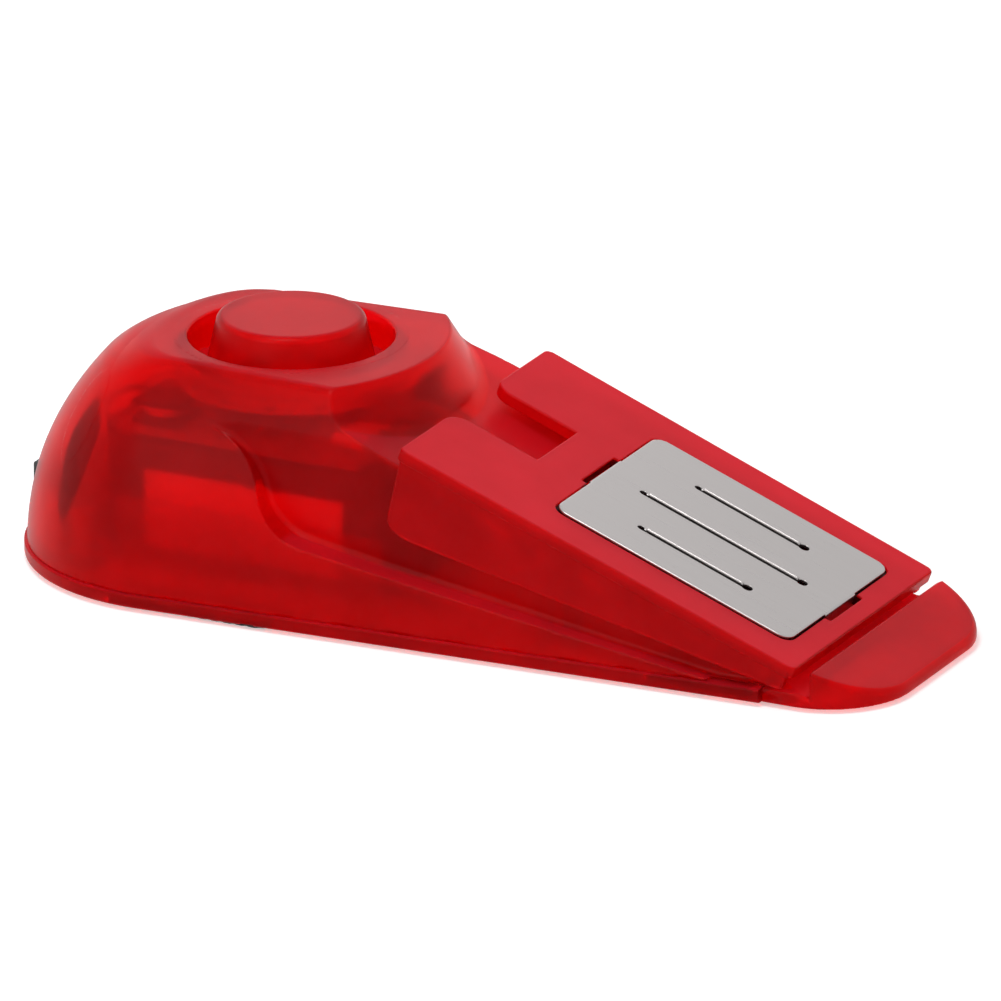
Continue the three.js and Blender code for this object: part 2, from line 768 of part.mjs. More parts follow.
// Flap: slab with notch and tab slots, side skirts, hinge holes and spring peg, in world axes
function flapPoint(run, lift) {
  const [s, c] = [Math.sin(wedgeAngle), Math.cos(wedgeAngle)];
  return [flapRearX + run * c + lift * s, flapRearHeight - run * s + lift * c];
}
function onSlope(solid) {
  const turn = wedgeAngle / degree;
  return solid.rotate([0, turn, 0]).translate([flapRearX, 0, flapRearHeight]);
}
function slopeRun() {
  return flapRun / Math.cos(wedgeAngle);
}
function plateSpan() {
  const front = slopeRun() - plateFrontMargin;
  return [front - plateLength, front];
}
function trayOutline() {
  const run = slopeRun();
  const [rear, front] = [flapRearHalfWidth, flapFrontHalfWidth];
  const r = flapCornerRadius;
  const p = prongRadius;
  const n = notchHalfWidth;
  return polygon([
    ...arc(r, -rear + r, r, halfTurn, halfTurn + quarterTurn, cornerSteps),
    ...arc(run - r, -front + r, r, -quarterTurn, 0, cornerSteps),
    ...arc(run - r, front - r, r, 0, quarterTurn, cornerSteps),
    ...arc(r, rear - r, r, quarterTurn, halfTurn, cornerSteps),
    ...arc(p, n + p, p, halfTurn, halfTurn + quarterTurn, cornerSteps),
    [notchDepth, n],
    [notchDepth, -n],
    ...arc(p, -n - p, p, quarterTurn, halfTurn, cornerSteps),
  ]);
}
function skirt(side) {
  const under = flapThickness / 2;
  const [x0, z0] = flapPoint(skirtStep, -under);
  const [x1, z1] = flapPoint(slopeRun() - skirtFrontGap, -under);
  const cornerX = flapRearX - skirtRearLean;
  const cornerZ = flapRearHeight - skirtRearDrop;
  const lineX = cornerX + skirtCorner;
  const lineZ = cornerZ - skirtCorner / 2;
  const lowX = lineX + (lineZ - skirtLowest) / skirtSlope;
  const bend = new THREE.QuadraticBezierCurve(
    new THREE.Vector2(cornerX, cornerZ + skirtCorner),
    new THREE.Vector2(cornerX, cornerZ - skirtCorner / 4),
    new THREE.Vector2(lineX + skirtCorner, lineZ - skirtCorner * skirtSlope),
  );
  const round = bend.getPoints(cornerSteps).map((p) => [p.x, p.y]);
  const profile = polygon([[x0, z0], ...round, [Math.min(lowX, x1), skirtLowest], [x1, skirtLowest], [x1, z1]]);
  const reach = flapRearHalfWidth + overrun;
  const slab = sideways(profile, -reach, reach);
  const rearX = cornerX - overrun;
  const frontX = flapFrontX + overrun;
  const outer = (x) => side * (flapHalf(x) - skirtStep);
  const inner = (x) => side * (flapHalf(x) - skirtStep - skirtWall);
  const wall = polygon([[rearX, inner(rearX)], [frontX, inner(frontX)], [frontX, outer(frontX)], [rearX, outer(rearX)]]);
  return slab.intersect(raised(wall, 0, roofHeight + overrun));
}
function triggerFlap() {
  const slab = onSlope(raised(trayOutline(), -flapThickness, 0));
  const [plate0, plate1] = plateSpan();
  const slotHalf = tabHalfWidth + slideGap;
  const slotOver = touchGap;
  const rim = plateHalfWidth + touchGap;
  const seatFloor = plateRise - plateThickness - touchGap;
  const seat = raised(roundedRectangle(plate0 - touchGap, plate1 + touchGap, -rim, rim, plateCorner), seatFloor, overrun);
  const slots = [
    block(plate0 - tabSlotLength, plate0 + slotOver, -slotHalf, slotHalf, -flapThickness - overrun, overrun),
    block(plate1 - slotOver, plate1 + tabSlotLength, -slotHalf, slotHalf, -flapThickness - overrun, overrun),
    seat,
  ].map(onSlope);
  const pegRadius = springRadius - springWire - pegGap;
  const pegTop = flapZ(springX) - flapThickness / 2;
  const springTop = flapUnderZ(springX) - touchGap;
  const peg = rod(pegRadius, springTop - pegHeight, pegTop, springX);
  const pinEnd = flapHalf(pinX) - skirtStep - pinEndWall;
  const pinRoom = crossRod(pinRadius + pinGap, -pinEnd, pinEnd, pinX, pinZ);
  return cut(join(slab, skirt(-1), skirt(1), peg), ...slots, pinRoom);
}
function flapUnderZ(x) {
  return flapZ(x) - flapThickness / Math.cos(wedgeAngle);
}
function hingePin() {
  const end = flapHalf(pinX) - skirtStep - pinEndWall - touchGap;
  return crossRod(pinRadius, -end, end, pinX, pinZ);
}

// Steel plate: sheet with slits and pressed lips, and a bent tab at each end
function contactPlate() {
  const [x0, x1] = plateSpan();
  const low = plateRise - plateThickness;
  const top = plateRise;
  const sheet = raised(roundedRectangle(x0, x1, -plateHalfWidth, plateHalfWidth, plateCorner), low, top);
  const tabs = [
    block(x0 - plateThickness, x0 + plateThickness, -tabHalfWidth, tabHalfWidth, -tabReach, top),
    block(x1 - plateThickness, x1 + plateThickness, -tabHalfWidth, tabHalfWidth, -tabReach, top),
  ].map((tab, end) => cut(tab, block(
    end ? x1 - overrun : x0, end ? x1 : x0 + overrun, -tabHalfWidth, tabHalfWidth, -tabReach - overrun, low,
  )));
  const middle = (x0 + x1) / 2;
  const rows = [[-slitPitch, slitShortLength], [0, slitLongLength], [slitPitch, slitShortLength]];
  const cuts = [];
  const lips = [];
  for (const [y, length] of rows) {
    const [a, b] = [middle - length / 2, middle + length / 2];
    cuts.push(block(a, b, y - slitWidth, y, -overrun, top + overrun));
    cuts.push(rod(slitRearHole, -overrun, top + overrun, a, y));
    cuts.push(rod(slitFrontHole, -overrun, top + overrun, b, y));
    lips.push(block(a + slitFrontHole, b - slitFrontHole, y, y + lipWidth, low, top + lipHeight));
  }
  return onSlope(join(cut(sheet, ...cuts), ...tabs, ...lips));
}

// Return spring: one unbroken tube on a helix
function springEnds() {
  const low = deckZ(springX) - wellDepth + touchGap + springWire;
  const high = flapUnderZ(springX) - touchGap - springWire - (springRadius + springWire) * wedge;
  return [low, high];
}
function returnSpring() {
  const [low, high] = springEnds();
  const count = springCurls * springCurlSteps;
  const axis = [];
  for (let i = 0; i <= count; i += 1) {
    const angle = 2 * halfTurn * (i / springCurlSteps);
    const height = THREE.MathUtils.lerp(low, high, i / count);
    axis.push(new THREE.Vector3(springRadius * Math.cos(angle), springRadius * Math.sin(angle), height));
  }
  const rings = axis.map((centre, i) => {
    const out = new THREE.Vector3(centre.x, centre.y, 0).normalize();
    const ahead = axis[Math.min(i + 1, count)].clone().sub(axis[Math.max(i - 1, 0)]).normalize();
    const up = ahead.clone().cross(out).normalize();
    const ring = [];
    for (let k = 0; k < springSides; k += 1) {
      const turn = 2 * halfTurn * (k / springSides);
      const point = centre.clone().addScaledVector(out, springWire * Math.cos(turn));
      ring.push(point.addScaledVector(up, springWire * Math.sin(turn)).setX(point.x + springX));
    }
    return ring;
  });
  reportGap(rings);
  return lofted(rings);
}
function reportGap(rings) {
  let least = Infinity;
  for (let i = 0; i < rings.length; i += 1) {
    for (let j = i + springCurlSteps - 2; j < rings.length; j += 1) {
      for (const p of rings[i]) {
        for (const q of rings[j]) least = Math.min(least, p.distanceTo(q));
      }
    }
  }
  console.log(`return_spring least gap to itself: ${least.toFixed(2)} mm`);
}

// Trigger: a plunger that the flap presses, and the switch body on the pedestal
function triggerBodyTop() {
  return baseTop + triggerPedestalHeight + touchGap + triggerHeight;
}
function plungerTravel() {
  return (pinX - triggerX) * Math.sin(flapSwing);
}
function triggerPlunger() {
  const top = flapUnderZ(triggerX + plungerRadius) - touchGap;
  const rest = triggerBodyTop() + plungerTravel() + touchGap;
  const foot = triggerBodyTop() - triggerHeight + pedestalWall + plungerTravel() + touchGap;
  return join(rod(plungerRadius, foot, top, triggerX), rod(plungerFlangeRadius, rest, rest + plungerFlange, triggerX));
}
function triggerSwitchBody() {
  const half = triggerSize / 2;
  const low = baseTop + triggerPedestalHeight + touchGap;
  const body = block(triggerX - half, triggerX + half, -half, half, low, triggerBodyTop());
  return cut(body, rod(plungerRadius + plungerGap, low + pedestalWall, roofHeight, triggerX));
}

// Slide switch on a small upright board behind the battery, and its knob
function switchBoardFrontX() {
  return batteryRearX - switchBoardGap;
}
function switchBoard() {
  const front = switchBoardFrontX();
  const low = baseTop + touchGap;
  return block(front - boardThickness, front, -switchBoardHalfWidth, switchBoardHalfWidth, low, low + switchBoardHeight);
}
function switchSpan() {
  const front = switchBoardFrontX() - boardThickness - touchGap;
  return [front - switchDepth, front];
}
function slideSwitchBody() {
  const [rear, front] = switchSpan();
  const low = switchHeight - switchTall / 2;
  const body = block(rear, front, -switchHalfWidth, switchHalfWidth, low, low + switchTall);
  const slotHalf = knobTravel + slideGap;
  const slotTall = knobHeight / 4;
  return cut(body, block(rear - overrun, rear + knobFlange + slideGap, -slotHalf, slotHalf,
    switchHeight - slotTall - slideGap, switchHeight + slotTall + slideGap));
}
function knobRestY() {
  return -knobTravel / 2;
}
function wallInsideX() {
  const points = outline(switchHeight, rimStep + shellWall);
  return Math.min(...points.map(([x]) => x));
}
function switchKnob() {
  const y = knobRestY();
  const half = knobWidth / 2;
  const tall = knobHeight / 2;
  const [rear] = switchSpan();
  const flangeRear = wallInsideX() + knobFlangeGap;
  const outer = heelX;
  const grip = block(outer, flangeRear + knobFlange / 2, y - half, y + half, switchHeight - tall, switchHeight + tall);
  const wide = half + knobFlangeMargin + knobTravel / 2;
  const high = tall + knobFlangeMargin;
  const flange = block(flangeRear, flangeRear + knobFlange, y - wide, y + wide, switchHeight - high, switchHeight + high);
  const stem = knobHeight / 4;
  const tongue = block(flangeRear, rear + knobFlange, y - half / 2, y + half / 2, switchHeight - stem, switchHeight + stem);
  const grooves = [];
  for (let i = 0; i < knobRibs; i += 1) {
    const place = y + (i - (knobRibs - 1) / 2) * (knobWidth / (knobRibs + 1));
    grooves.push(block(outer - overrun, outer + knobRib, place - knobRib / 2, place + knobRib / 2,
      switchHeight - tall - overrun, switchHeight + tall + overrun));
  }
  return cut(join(grip, flange, tongue), ...grooves);
}
function knobSlot() {
  const half = knobWidth / 2 + knobTravel / 2 + slideGap;
  const tall = knobHeight / 2 + slideGap;
  return block(heelX - overrun, wallInsideX() + knobFlangeGap, -half, half,
    switchHeight - tall, switchHeight + tall);
}

// Battery block, its terminals and the snap on them
function battery() {
  const half = batteryWidth / 2;
  const face = polygon(roundedRectangle(-half, half, batteryBottom, batteryTop, batteryCorner).getPoints()
    .map((p) => [p.x, p.y]));
  const options = { depth: batteryLength, bevelEnabled: false };
  const geometry = new THREE.ExtrudeGeometry(face, options).rotateX(quarterTurn).rotateZ(quarterTurn);
  return toSolid(geometry.translate(batteryRearX, 0, 0));
}
function terminal(y, radius) {
  return longRod(radius, batteryFrontX + touchGap, batteryFrontX + terminalHeight, y, batteryMidZ);
}
function batterySnap() {
  const half = snapHeight / 2;
  return block(snapRearX, snapFrontX, -snapHalfWidth, snapHalfWidth, batteryMidZ - half, batteryMidZ + half);
}

// Circuit board and its parts
function circuitBoard() {
  const plate = block(boardRearX, boardFrontX, -boardHalfWidth, boardHalfWidth, boardBottom, boardTop);
  return cut(plate, ...boardScrewPlaces().map(([x, y]) => rod(smallScrewShank + touchGap, 0, roofHeight, x, y)));
}
function controlChip() {
  const low = boardTop + partSeat;
  const [halfLength, halfWidth] = [chipLength / 2, chipWidth / 2];
  const body = block(sirenX - halfLength, sirenX + halfLength, -halfWidth, halfWidth, low + pinThick, low + chipHeight);
  const pins = [];
  for (let i = 0; i < chipPins; i += 1) {
    const x = sirenX + (i - (chipPins - 1) / 2) * chipPinPitch;
    for (const side of [-1, 1]) {
      const [near, far] = [side * (halfWidth - pinThick), side * (halfWidth + pinThick)];
      pins.push(block(x - pinThick / 2, x + pinThick / 2, Math.min(near, far), Math.max(near, far), low, low + chipHeight / 2));
    }
  }
  return join(body, ...pins);
}
function coilBase() {
  return boardTop + partSeat;
}
function transformerCore() {
  const low = coilBase();
  const half = coilSize / 2;
  const y = -cornerPlaceY;
  const flanges = [low, low + coilHeight - coilFlange].map((z) =>
    block(coilPlaceX - half, coilPlaceX + half, y - half, y + half, z, z + coilFlange));
  return join(...flanges, rod(coilCoreRadius, low, low + coilHeight, coilPlaceX, y));
}
function transformerWinding() {
  const low = coilBase() + coilFlange + touchGap;
  const high = coilBase() + coilHeight - coilFlange - touchGap;
  const inner = coilCoreRadius + touchGap;
  const outer = coilSize / 2 - touchGap;
  return turned([[inner, low], [outer, low], [outer, high], [inner, high], [inner, low]], coilPlaceX, -cornerPlaceY,
    smallSteps);
}
function driverTransistor() {
  const low = boardTop + partSeat;
  const body = rod(transistorRadius, low, low + transistorHeight, frontPlaceX, cornerPlaceY);
  const flat = frontPlaceX + transistorFlat;
  return cut(body, block(flat, flat + overrun, cornerPlaceY - overrun, cornerPlaceY + overrun, 0, roofHeight));
}
function supplyCapacitor() {
  const low = boardTop + partSeat;
  return rod(capacitorRadius, low, low + capacitorHeight, capacitorPlaceX, capacitorPlaceY);
}
function resistor(index) {
  const y = -cornerPlaceY + index * resistorPitch;
  const low = boardTop + partSeat + resistorRadius;
  const half = resistorLength / 2;
  return longRod(resistorRadius, frontPlaceX - half, frontPlaceX + half, y, low);
}

// Screws with a straight slot, drawn head down
function screw(x, y, headLow, headRadius, headHeight, shankRadius, length) {
  const headTop = headLow + headHeight;
  const head = rod(headRadius, headLow, headTop, x, y);
  const shank = rod(shankRadius, headTop - headHeight / 2, headTop + length, x, y);
  const slot = block(x - screwSlotWidth / 2, x + screwSlotWidth / 2, y - headRadius - overrun, y + headRadius + overrun,
    headLow - overrun, headLow + headHeight / 2);
  return cut(join(head, shank), slot);
}
function caseScrew([x, y]) {
  return screw(x, y, baseBottom + screwSink, screwHeadRadius, screwHeadHeight, screwShankRadius, screwLength - touchGap);
}
function boardScrew([x, y]) {
  const headLow = boardBottom - touchGap - smallScrewHeadHeight;
  return screw(x, y, headLow, smallScrewHead, smallScrewHeadHeight, smallScrewShank, smallScrewLength);
}

// Leads, each from one part to the board, as chosen routes that start from the siren's axis
const boardLeadTop = boardTop + leadRadius + touchGap;
const thinLeadTop = boardTop + thinLeadRadius + touchGap;
const snapTop = batteryMidZ + snapHeight / 2;
function snapRoute(y) {
  return [[25.7, y, snapTop + touchGap], [25.7, y, 19.9], [23.9, y, 24], [19.6, y, 26], [16.9, y, boardLeadTop]];
}
function piezoRoute(side) {
  return [[0, side * 5.6, 26.7], [0.3, side * 7.6, 25.7], [0.9, side * 10, 25], [1.5, side * 12.5, thinLeadTop]];
}
function switchRoute(side) {
  return [
    [-27.3, side * 6, 16.5], [-27.3, side * 6, 20], [-25.9, side * 6, 23.2],
    [-22.4, side * 6, 25.4], [-19.4, side * 6, 25.5], [-16.9, side * 6, thinLeadTop],
  ];
}
function triggerRoute(side) {
  return [
    [37.4, side * 2.2, 11.8], [34.5, side * 4, 14], [30.5, side * 6.6, 18.6],
    [25.5, side * 7.4, 22.4], [21.1, side * 7.4, 24.9], [16.9, side * 7.4, thinLeadTop],
  ];
}
const leadRoutes = {
  snap_lead_red: [snapRoute(4), leadRadius],
  snap_lead_black: [snapRoute(-3), leadRadius],
  piezo_lead_red: [piezoRoute(-1), thinLeadRadius],
  piezo_lead_black: [piezoRoute(1), thinLeadRadius],
  switch_lead_1: [switchRoute(-1), thinLeadRadius],
  switch_lead_2: [switchRoute(1), thinLeadRadius],
  trigger_lead_1: [triggerRoute(-1), thinLeadRadius],
  trigger_lead_2: [triggerRoute(1), thinLeadRadius],
};

// Materials
function plastic(color, roughness, opacity = 1) {
  const glassy = opacity < 1;
  return new THREE.MeshStandardMaterial({ color, roughness, metalness: 0, opacity, transparent: glassy });
}
function metal(color, roughness) {
  return new THREE.MeshStandardMaterial({ color, roughness, metalness: 1 });
}
const clearRed = plastic(0xc20d14, 0.2, 0.75);
const black = plastic(0x161616, 0.5);
const rubber = plastic(0x1b1a1a, 0.85);
const foam = plastic(0x33312f, 0.95);
const steel = metal(0xb9b6b2, 0.3);
const zinc = metal(0xa9a9a4, 0.35);
const brass = metal(0xc9a64a, 0.35);
const ceramic = plastic(0xe6e2d8, 0.5);
const fibre = plastic(0x2f5d34, 0.6);
const copper = metal(0xa85a2a, 0.4);
const jacket = plastic(0xd8a13a, 0.35);
const beige = plastic(0xc9ae84, 0.5);
const redLead = plastic(0xb01818, 0.5);

const alarm = new THREE.Group();
function add(name, form, material) {
  const geometry = form.isBufferGeometry ? form : toGeometry(form);
  const mesh = new THREE.Mesh(geometry, material);
  mesh.name = name;
  alarm.add(mesh);
}

add('upper_housing', upperHousing(), clearRed);
add('base_plate', basePlate(), clearRed);
add('siren_cap', sirenCap(), clearRed);
add('piezo_disc', rod(piezoRadius, piezoTop() - piezoThickness, piezoTop(), sirenX, 0, roundSteps), brass);
const ceramicTop = piezoTop() - piezoThickness - touchGap / 2;
add('piezo_ceramic', rod(ceramicRadius, ceramicTop - ceramicThickness, ceramicTop, sirenX, 0, roundSteps), ceramic);
add('piezo_retainer', piezoRetainer(), black);
add('trigger_flap', triggerFlap(), clearRed);
add('contact_plate', contactPlate(), steel);
add('hinge_pin', hingePin(), zinc);
add('return_spring', returnSpring(), zinc);
add('trigger_plunger', triggerPlunger(), black);
add('trigger_switch_body', triggerSwitchBody(), black);
add('circuit_board', circuitBoard(), fibre);
add('control_chip', controlChip(), black);
add('transformer_core', transformerCore(), black);
add('transformer_winding', transformerWinding(), copper);
add('driver_transistor', driverTransistor(), black);
add('supply_capacitor', supplyCapacitor(), black);
for (const index of [0, 1, 2]) add(`resistor_${index + 1}`, resistor(index), beige);
add('switch_board', switchBoard(), fibre);
add('slide_switch_body', slideSwitchBody(), zinc);
add('switch_knob', switchKnob(), black);
add('battery', battery(), jacket);
add('battery_terminal_positive', terminal(-terminalSpacing / 2, terminalMaleRadius), zinc);
add('battery_terminal_negative', terminal(terminalSpacing / 2, terminalFemaleRadius), zinc);
add('battery_snap', batterySnap(), black);
for (const [name, [route, radius]] of Object.entries(leadRoutes)) {
  add(name, lead(route, radius), name.endsWith('red') ? redLead : black);
}
add('battery_door', batteryDoor(), clearRed);
add('door_pad', doorPad(), foam);
screwPlaces().forEach((place, index) => add(`case_screw_${index + 1}`, caseScrew(place), zinc));
boardScrewPlaces().forEach((place, index) => add(`board_screw_${index + 1}`, boardScrew(place), zinc));
for (const [name, outlineOfPad] of Object.entries(padOutlines())) add(name, pad(outlineOfPad), rubber);

export default alarm;
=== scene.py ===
"""Door stop alarm in clear red plastic: its looks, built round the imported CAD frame.

Visible pieces are closed surfaces of distance fields, in millimetres, with the sizes that the CAD has.
"""
import json
import math

import bpy
import numpy as np
from mathutils import Matrix, Vector


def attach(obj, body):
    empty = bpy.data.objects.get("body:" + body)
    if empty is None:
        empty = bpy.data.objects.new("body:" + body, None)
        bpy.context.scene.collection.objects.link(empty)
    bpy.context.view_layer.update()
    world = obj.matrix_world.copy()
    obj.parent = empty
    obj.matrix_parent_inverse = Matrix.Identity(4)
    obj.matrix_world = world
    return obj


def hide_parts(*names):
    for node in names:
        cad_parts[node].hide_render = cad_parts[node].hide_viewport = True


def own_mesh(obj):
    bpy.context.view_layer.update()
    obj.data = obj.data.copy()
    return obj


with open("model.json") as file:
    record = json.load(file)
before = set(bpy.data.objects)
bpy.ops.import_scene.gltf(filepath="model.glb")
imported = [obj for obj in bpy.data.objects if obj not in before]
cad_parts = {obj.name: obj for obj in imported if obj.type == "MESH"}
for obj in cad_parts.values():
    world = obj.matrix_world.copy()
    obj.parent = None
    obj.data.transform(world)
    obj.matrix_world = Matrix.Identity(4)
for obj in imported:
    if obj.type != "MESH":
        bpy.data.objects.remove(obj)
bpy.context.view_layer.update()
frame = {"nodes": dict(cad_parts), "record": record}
MM = 0.001

# Sizes shared with the CAD, in millimetres: x runs from heel to toe and z up from the floor
HEEL_X, TOE_X = -71.0, 71.0
BASE_LOW, BASE_TOP, SHELL_LOW = 0.6, 2.6, 2.66
ROOF = 35.0
WALL = 2.0
KNOB_PROUD, HEEL_DEPTH = 0.45, 27.15
HEEL_CENTRE = HEEL_X + KNOB_PROUD + HEEL_DEPTH
TOE_RADIUS = 12.6
TOE_CENTRE = TOE_X - TOE_RADIUS
TOE_REAR, TOE_BLOCK = 60.9, 53.9
SIREN_X = HEEL_X + 39.9
RECESS_R, RECESS_FLOOR = 14.8, 30.0
FLAP_X, FLAP_Z, FLAP_RUN, FLAP_FRONT_Z = -2.2, 29.9, 61.6, 6.56
FLAP_REAR_HALF, FLAP_FRONT_HALF, FLAP_THICK = 23.6, 22.9, 1.8
WEDGE = (FLAP_Z - FLAP_FRONT_Z) / FLAP_RUN
TILT = math.atan(WEDGE)
SIN, COS = math.sin(TILT), math.cos(TILT)
SLOPE_RUN = FLAP_RUN / COS
DECK_DROP = 3.9
SPRING_SHARE, TRIGGER_SHARE, POST_SHARE = 0.5018, 0.2171, 0.3772
PIN_X, PIN_HOLE = 54.0, 1.1
PIN_Z = FLAP_Z - WEDGE * (PIN_X - FLAP_X) - DECK_DROP
SPRING_X = FLAP_X + SPRING_SHARE * (PIN_X - FLAP_X)
TRIGGER_X = FLAP_X + TRIGGER_SHARE * (PIN_X - FLAP_X)
FRONT_POST_X = FLAP_X + POST_SHARE * (PIN_X - FLAP_X)
SEAT, SEAT_HALF, SEAT_DEPTH = (22.0, 61.8), 16.75, 0.45
TAB_SLOTS, TAB_SLOT_HALF = ((21.0, 22.6), (61.2, 62.8)), 5.2
POSTS = ((-55.0, -17.5), (-55.0, 17.5), (FRONT_POST_X, -14.6), (FRONT_POST_X, 14.6))
WELL_DEPTH = 7.0
PLATE_LENGTH, PLATE_MARGIN, PLATE_HALF = 39.2, 4.37, 16.45
PLATE_REAR, PLATE_FRONT = SLOPE_RUN - PLATE_MARGIN - PLATE_LENGTH, SLOPE_RUN - PLATE_MARGIN
KNOB_Y, KNOB_Z = -1.5, 8.8
BATTERY_Z = 12.45
SNAP_HALF_HEIGHT = 6.3
BOARD_TOP = 24.0
FAR, BELOW = 90.0, -4


def flap_z(x):
    return FLAP_Z - WEDGE * (x - FLAP_X)


def deck_z(x):
    return flap_z(x) - DECK_DROP


def flap_half(x):
    return FLAP_REAR_HALF + (FLAP_FRONT_HALF - FLAP_REAR_HALF) * (x - FLAP_X) / FLAP_RUN


# Distance fields: negative inside a form, positive outside. Edges are rounded to these radii
HAIR, THIN, FINE, SEAM, SLIGHT, SMALL, MILD = 0.05, 0.08, 0.1, 0.12, 0.15, 0.2, 0.25
ROUND, FIRM, WIDE, BROAD, SOFT, FULL, CORNER = 0.3, 0.35, 0.4, 0.5, 0.8, 1.0, 2.0


def smax(a, b, r):
    """Where both fields are negative, with the edge between them rounded to radius r."""
    if np.ndim(r) == 0 and r == 0:
        return np.maximum(a, b)
    u, v = np.maximum(a + r, 0), np.maximum(b + r, 0)
    return np.minimum(np.maximum(a, b), -r) + np.hypot(u, v)


def smin(a, b, r):
    return -smax(-a, -b, r)


def many(op, fields, r=0.0):
    result = fields[0]
    for f in fields[1:]:
        result = op(result, f, r)
    return result


def brick(x, y, z, lo, hi, r=0.0):
    """A box with rounded edges."""
    c, h = [(a + b) / 2 for a, b in zip(lo, hi)], [(b - a) / 2 - r for a, b in zip(lo, hi)]
    q = [np.abs(v - m) - k for v, m, k in zip((x, y, z), c, h)]
    out = np.sqrt(np.maximum(q[0], 0) ** 2 + np.maximum(q[1], 0) ** 2 + np.maximum(q[2], 0) ** 2)
    return out + np.minimum(np.maximum(np.maximum(q[0], q[1]), q[2]), 0) - r


def plan_box(x, y, lo, hi, r):
    """A rectangle in plan with round corners, without a top or bottom."""
    qx = np.abs(x - (lo[0] + hi[0]) / 2) - (hi[0] - lo[0]) / 2 + r
    qy = np.abs(y - (lo[1] + hi[1]) / 2) - (hi[1] - lo[1]) / 2 + r
    return np.hypot(np.maximum(qx, 0), np.maximum(qy, 0)) + np.minimum(np.maximum(qx, qy), 0) - r


def disc(x, y, cx, cy, r):
    return np.hypot(x - cx, y - cy) - r


def rod(x, y, z, cx, cy, r, z0, z1, edge=0.0):
    return smax(smax(disc(x, y, cx, cy, r), z0 - z, edge), z - z1, edge)


def over_line(x, z, points):
    """Distance to a line of points that runs along x: positive above it, negative below."""
    best = None
    for (ax, az), (bx, bz) in zip(points[:-1], points[1:]):
        dx, dz = bx - ax, bz - az
        t = np.clip(((x - ax) * dx + (z - az) * dz) / (dx * dx + dz * dz), 0, 1)
        d = (x - ax - t * dx) ** 2 + (z - az - t * dz) ** 2
        best = d if best is None else np.minimum(best, d)
    px, pz = zip(*points)
    return np.sqrt(best) * np.where(z > np.interp(x, px, pz), 1.0, -1.0)


# From a field to a mesh. MANY, SOME and FEW are the most triangles that a piece may have
TINY, SHORTEST, TOUCH = 1e-9, 1e-3, 1e-6
SLOPE_STEP, LEAST_SLOPE = 0.02, 0.05
MANY, SOME, FEW = 190_000, 150_000, 60_000


def spaced(lo, hi, step, fine=(), fine_step=None, reach=1.0):
    """Grid lines from lo to hi, a step apart, and closer near the places in fine."""
    lines = [lo]
    while lines[-1] < hi:
        near = min((abs(lines[-1] - f) for f in fine), default=math.inf)
        s = fine_step if fine_step and near < reach + fine_step else step
        if fine_step and s == step:
            gap = [f - reach - lines[-1] for f in fine if f - reach - lines[-1] > TOUCH]
            s = min([s] + gap) if gap else s
        lines.append(lines[-1] + max(s, SHORTEST))
    return np.array(lines)


def gradient(field, p, h):
    g = np.empty_like(p)
    for k in range(3):
        d = np.zeros(3)
        d[k] = h
        a, b = p + d, p - d
        g[:, k] = (field(a[:, 0], a[:, 1], a[:, 2]) - field(b[:, 0], b[:, 1], b[:, 2])) / (2 * h)
    return g


def nets(field, axes):
    """Points and quads of the field's zero surface on a grid."""
    f = field(axes[0][:, None, None], axes[1][None, :, None], axes[2][None, None, :])
    f = np.broadcast_to(f, tuple(len(a) for a in axes))
    f = np.where(f == 0, TINY, f)
    inside = f < 0
    count = np.zeros(tuple(n - 1 for n in f.shape), np.int8)
    for i in (0, 1):
        for j in (0, 1):
            for k in (0, 1):
                count += inside[i:i - 1 or None, j:j - 1 or None, k:k - 1 or None]
    mixed = (count > 0) & (count < 8)
    index = np.full(mixed.shape, -1, np.int64)
    total = int(mixed.sum())
    index[mixed] = np.arange(total)
    sums, hits, quads = np.zeros((total, 3)), np.zeros(total), []
    for axis in range(3):
        u, v = (axis + 1) % 3, (axis + 2) % 3
        low = [slice(None)] * 3
        high = [slice(None)] * 3
        low[axis], high[axis] = slice(None, -1), slice(1, None)
        e = np.argwhere(inside[tuple(low)] != inside[tuple(high)])
        step = np.zeros(3, int)
        step[axis] = 1
        n = e + step
        f0, f1 = f[e[:, 0], e[:, 1], e[:, 2]], f[n[:, 0], n[:, 1], n[:, 2]]
        p = np.stack([axes[k][e[:, k]] for k in range(3)], 1).astype(float)
        p[:, axis] += f0 / (f0 - f1) * (axes[axis][n[:, axis]] - p[:, axis])
        ring = []
        for du, dv in ((0, 0), (-1, 0), (-1, -1), (0, -1)):
            c = e.copy()
            c[:, u] += du
            c[:, v] += dv
            i = index[c[:, 0], c[:, 1], c[:, 2]]
            for k in range(3):
                sums[:, k] += np.bincount(i, p[:, k], total)
            hits += np.bincount(i, None, total)
            ring.append(i)
        q = np.stack(ring, 1)
        flip = f0 > 0
        q[flip] = q[flip][:, ::-1]
        quads.append(q)
    return sums / hits[:, None], np.concatenate(quads)


def settle(field, p, step, rounds=3):
    """Moves points onto the field's zero surface."""
    for _ in range(rounds):
        g = gradient(field, p, SLOPE_STEP)
        steep = np.maximum((g * g).sum(1), LEAST_SLOPE)[:, None]
        move = field(p[:, 0], p[:, 1], p[:, 2])[:, None] * g / steep
        size = np.linalg.norm(move, axis=1)[:, None]
        p = p - move * np.minimum(1, step / np.maximum(size, TINY))
    return p


def shown(name, points, faces, normals=None):
    mesh = bpy.data.meshes.new(name)
    mesh.from_pydata(points, [], faces)
    mesh.validate()
    mesh.shade_smooth()
    if normals is not None:
        mesh.normals_split_custom_set_from_vertices(normals)
    obj = bpy.data.objects.new(name, mesh)
    bpy.context.scene.collection.objects.link(obj)
    return obj


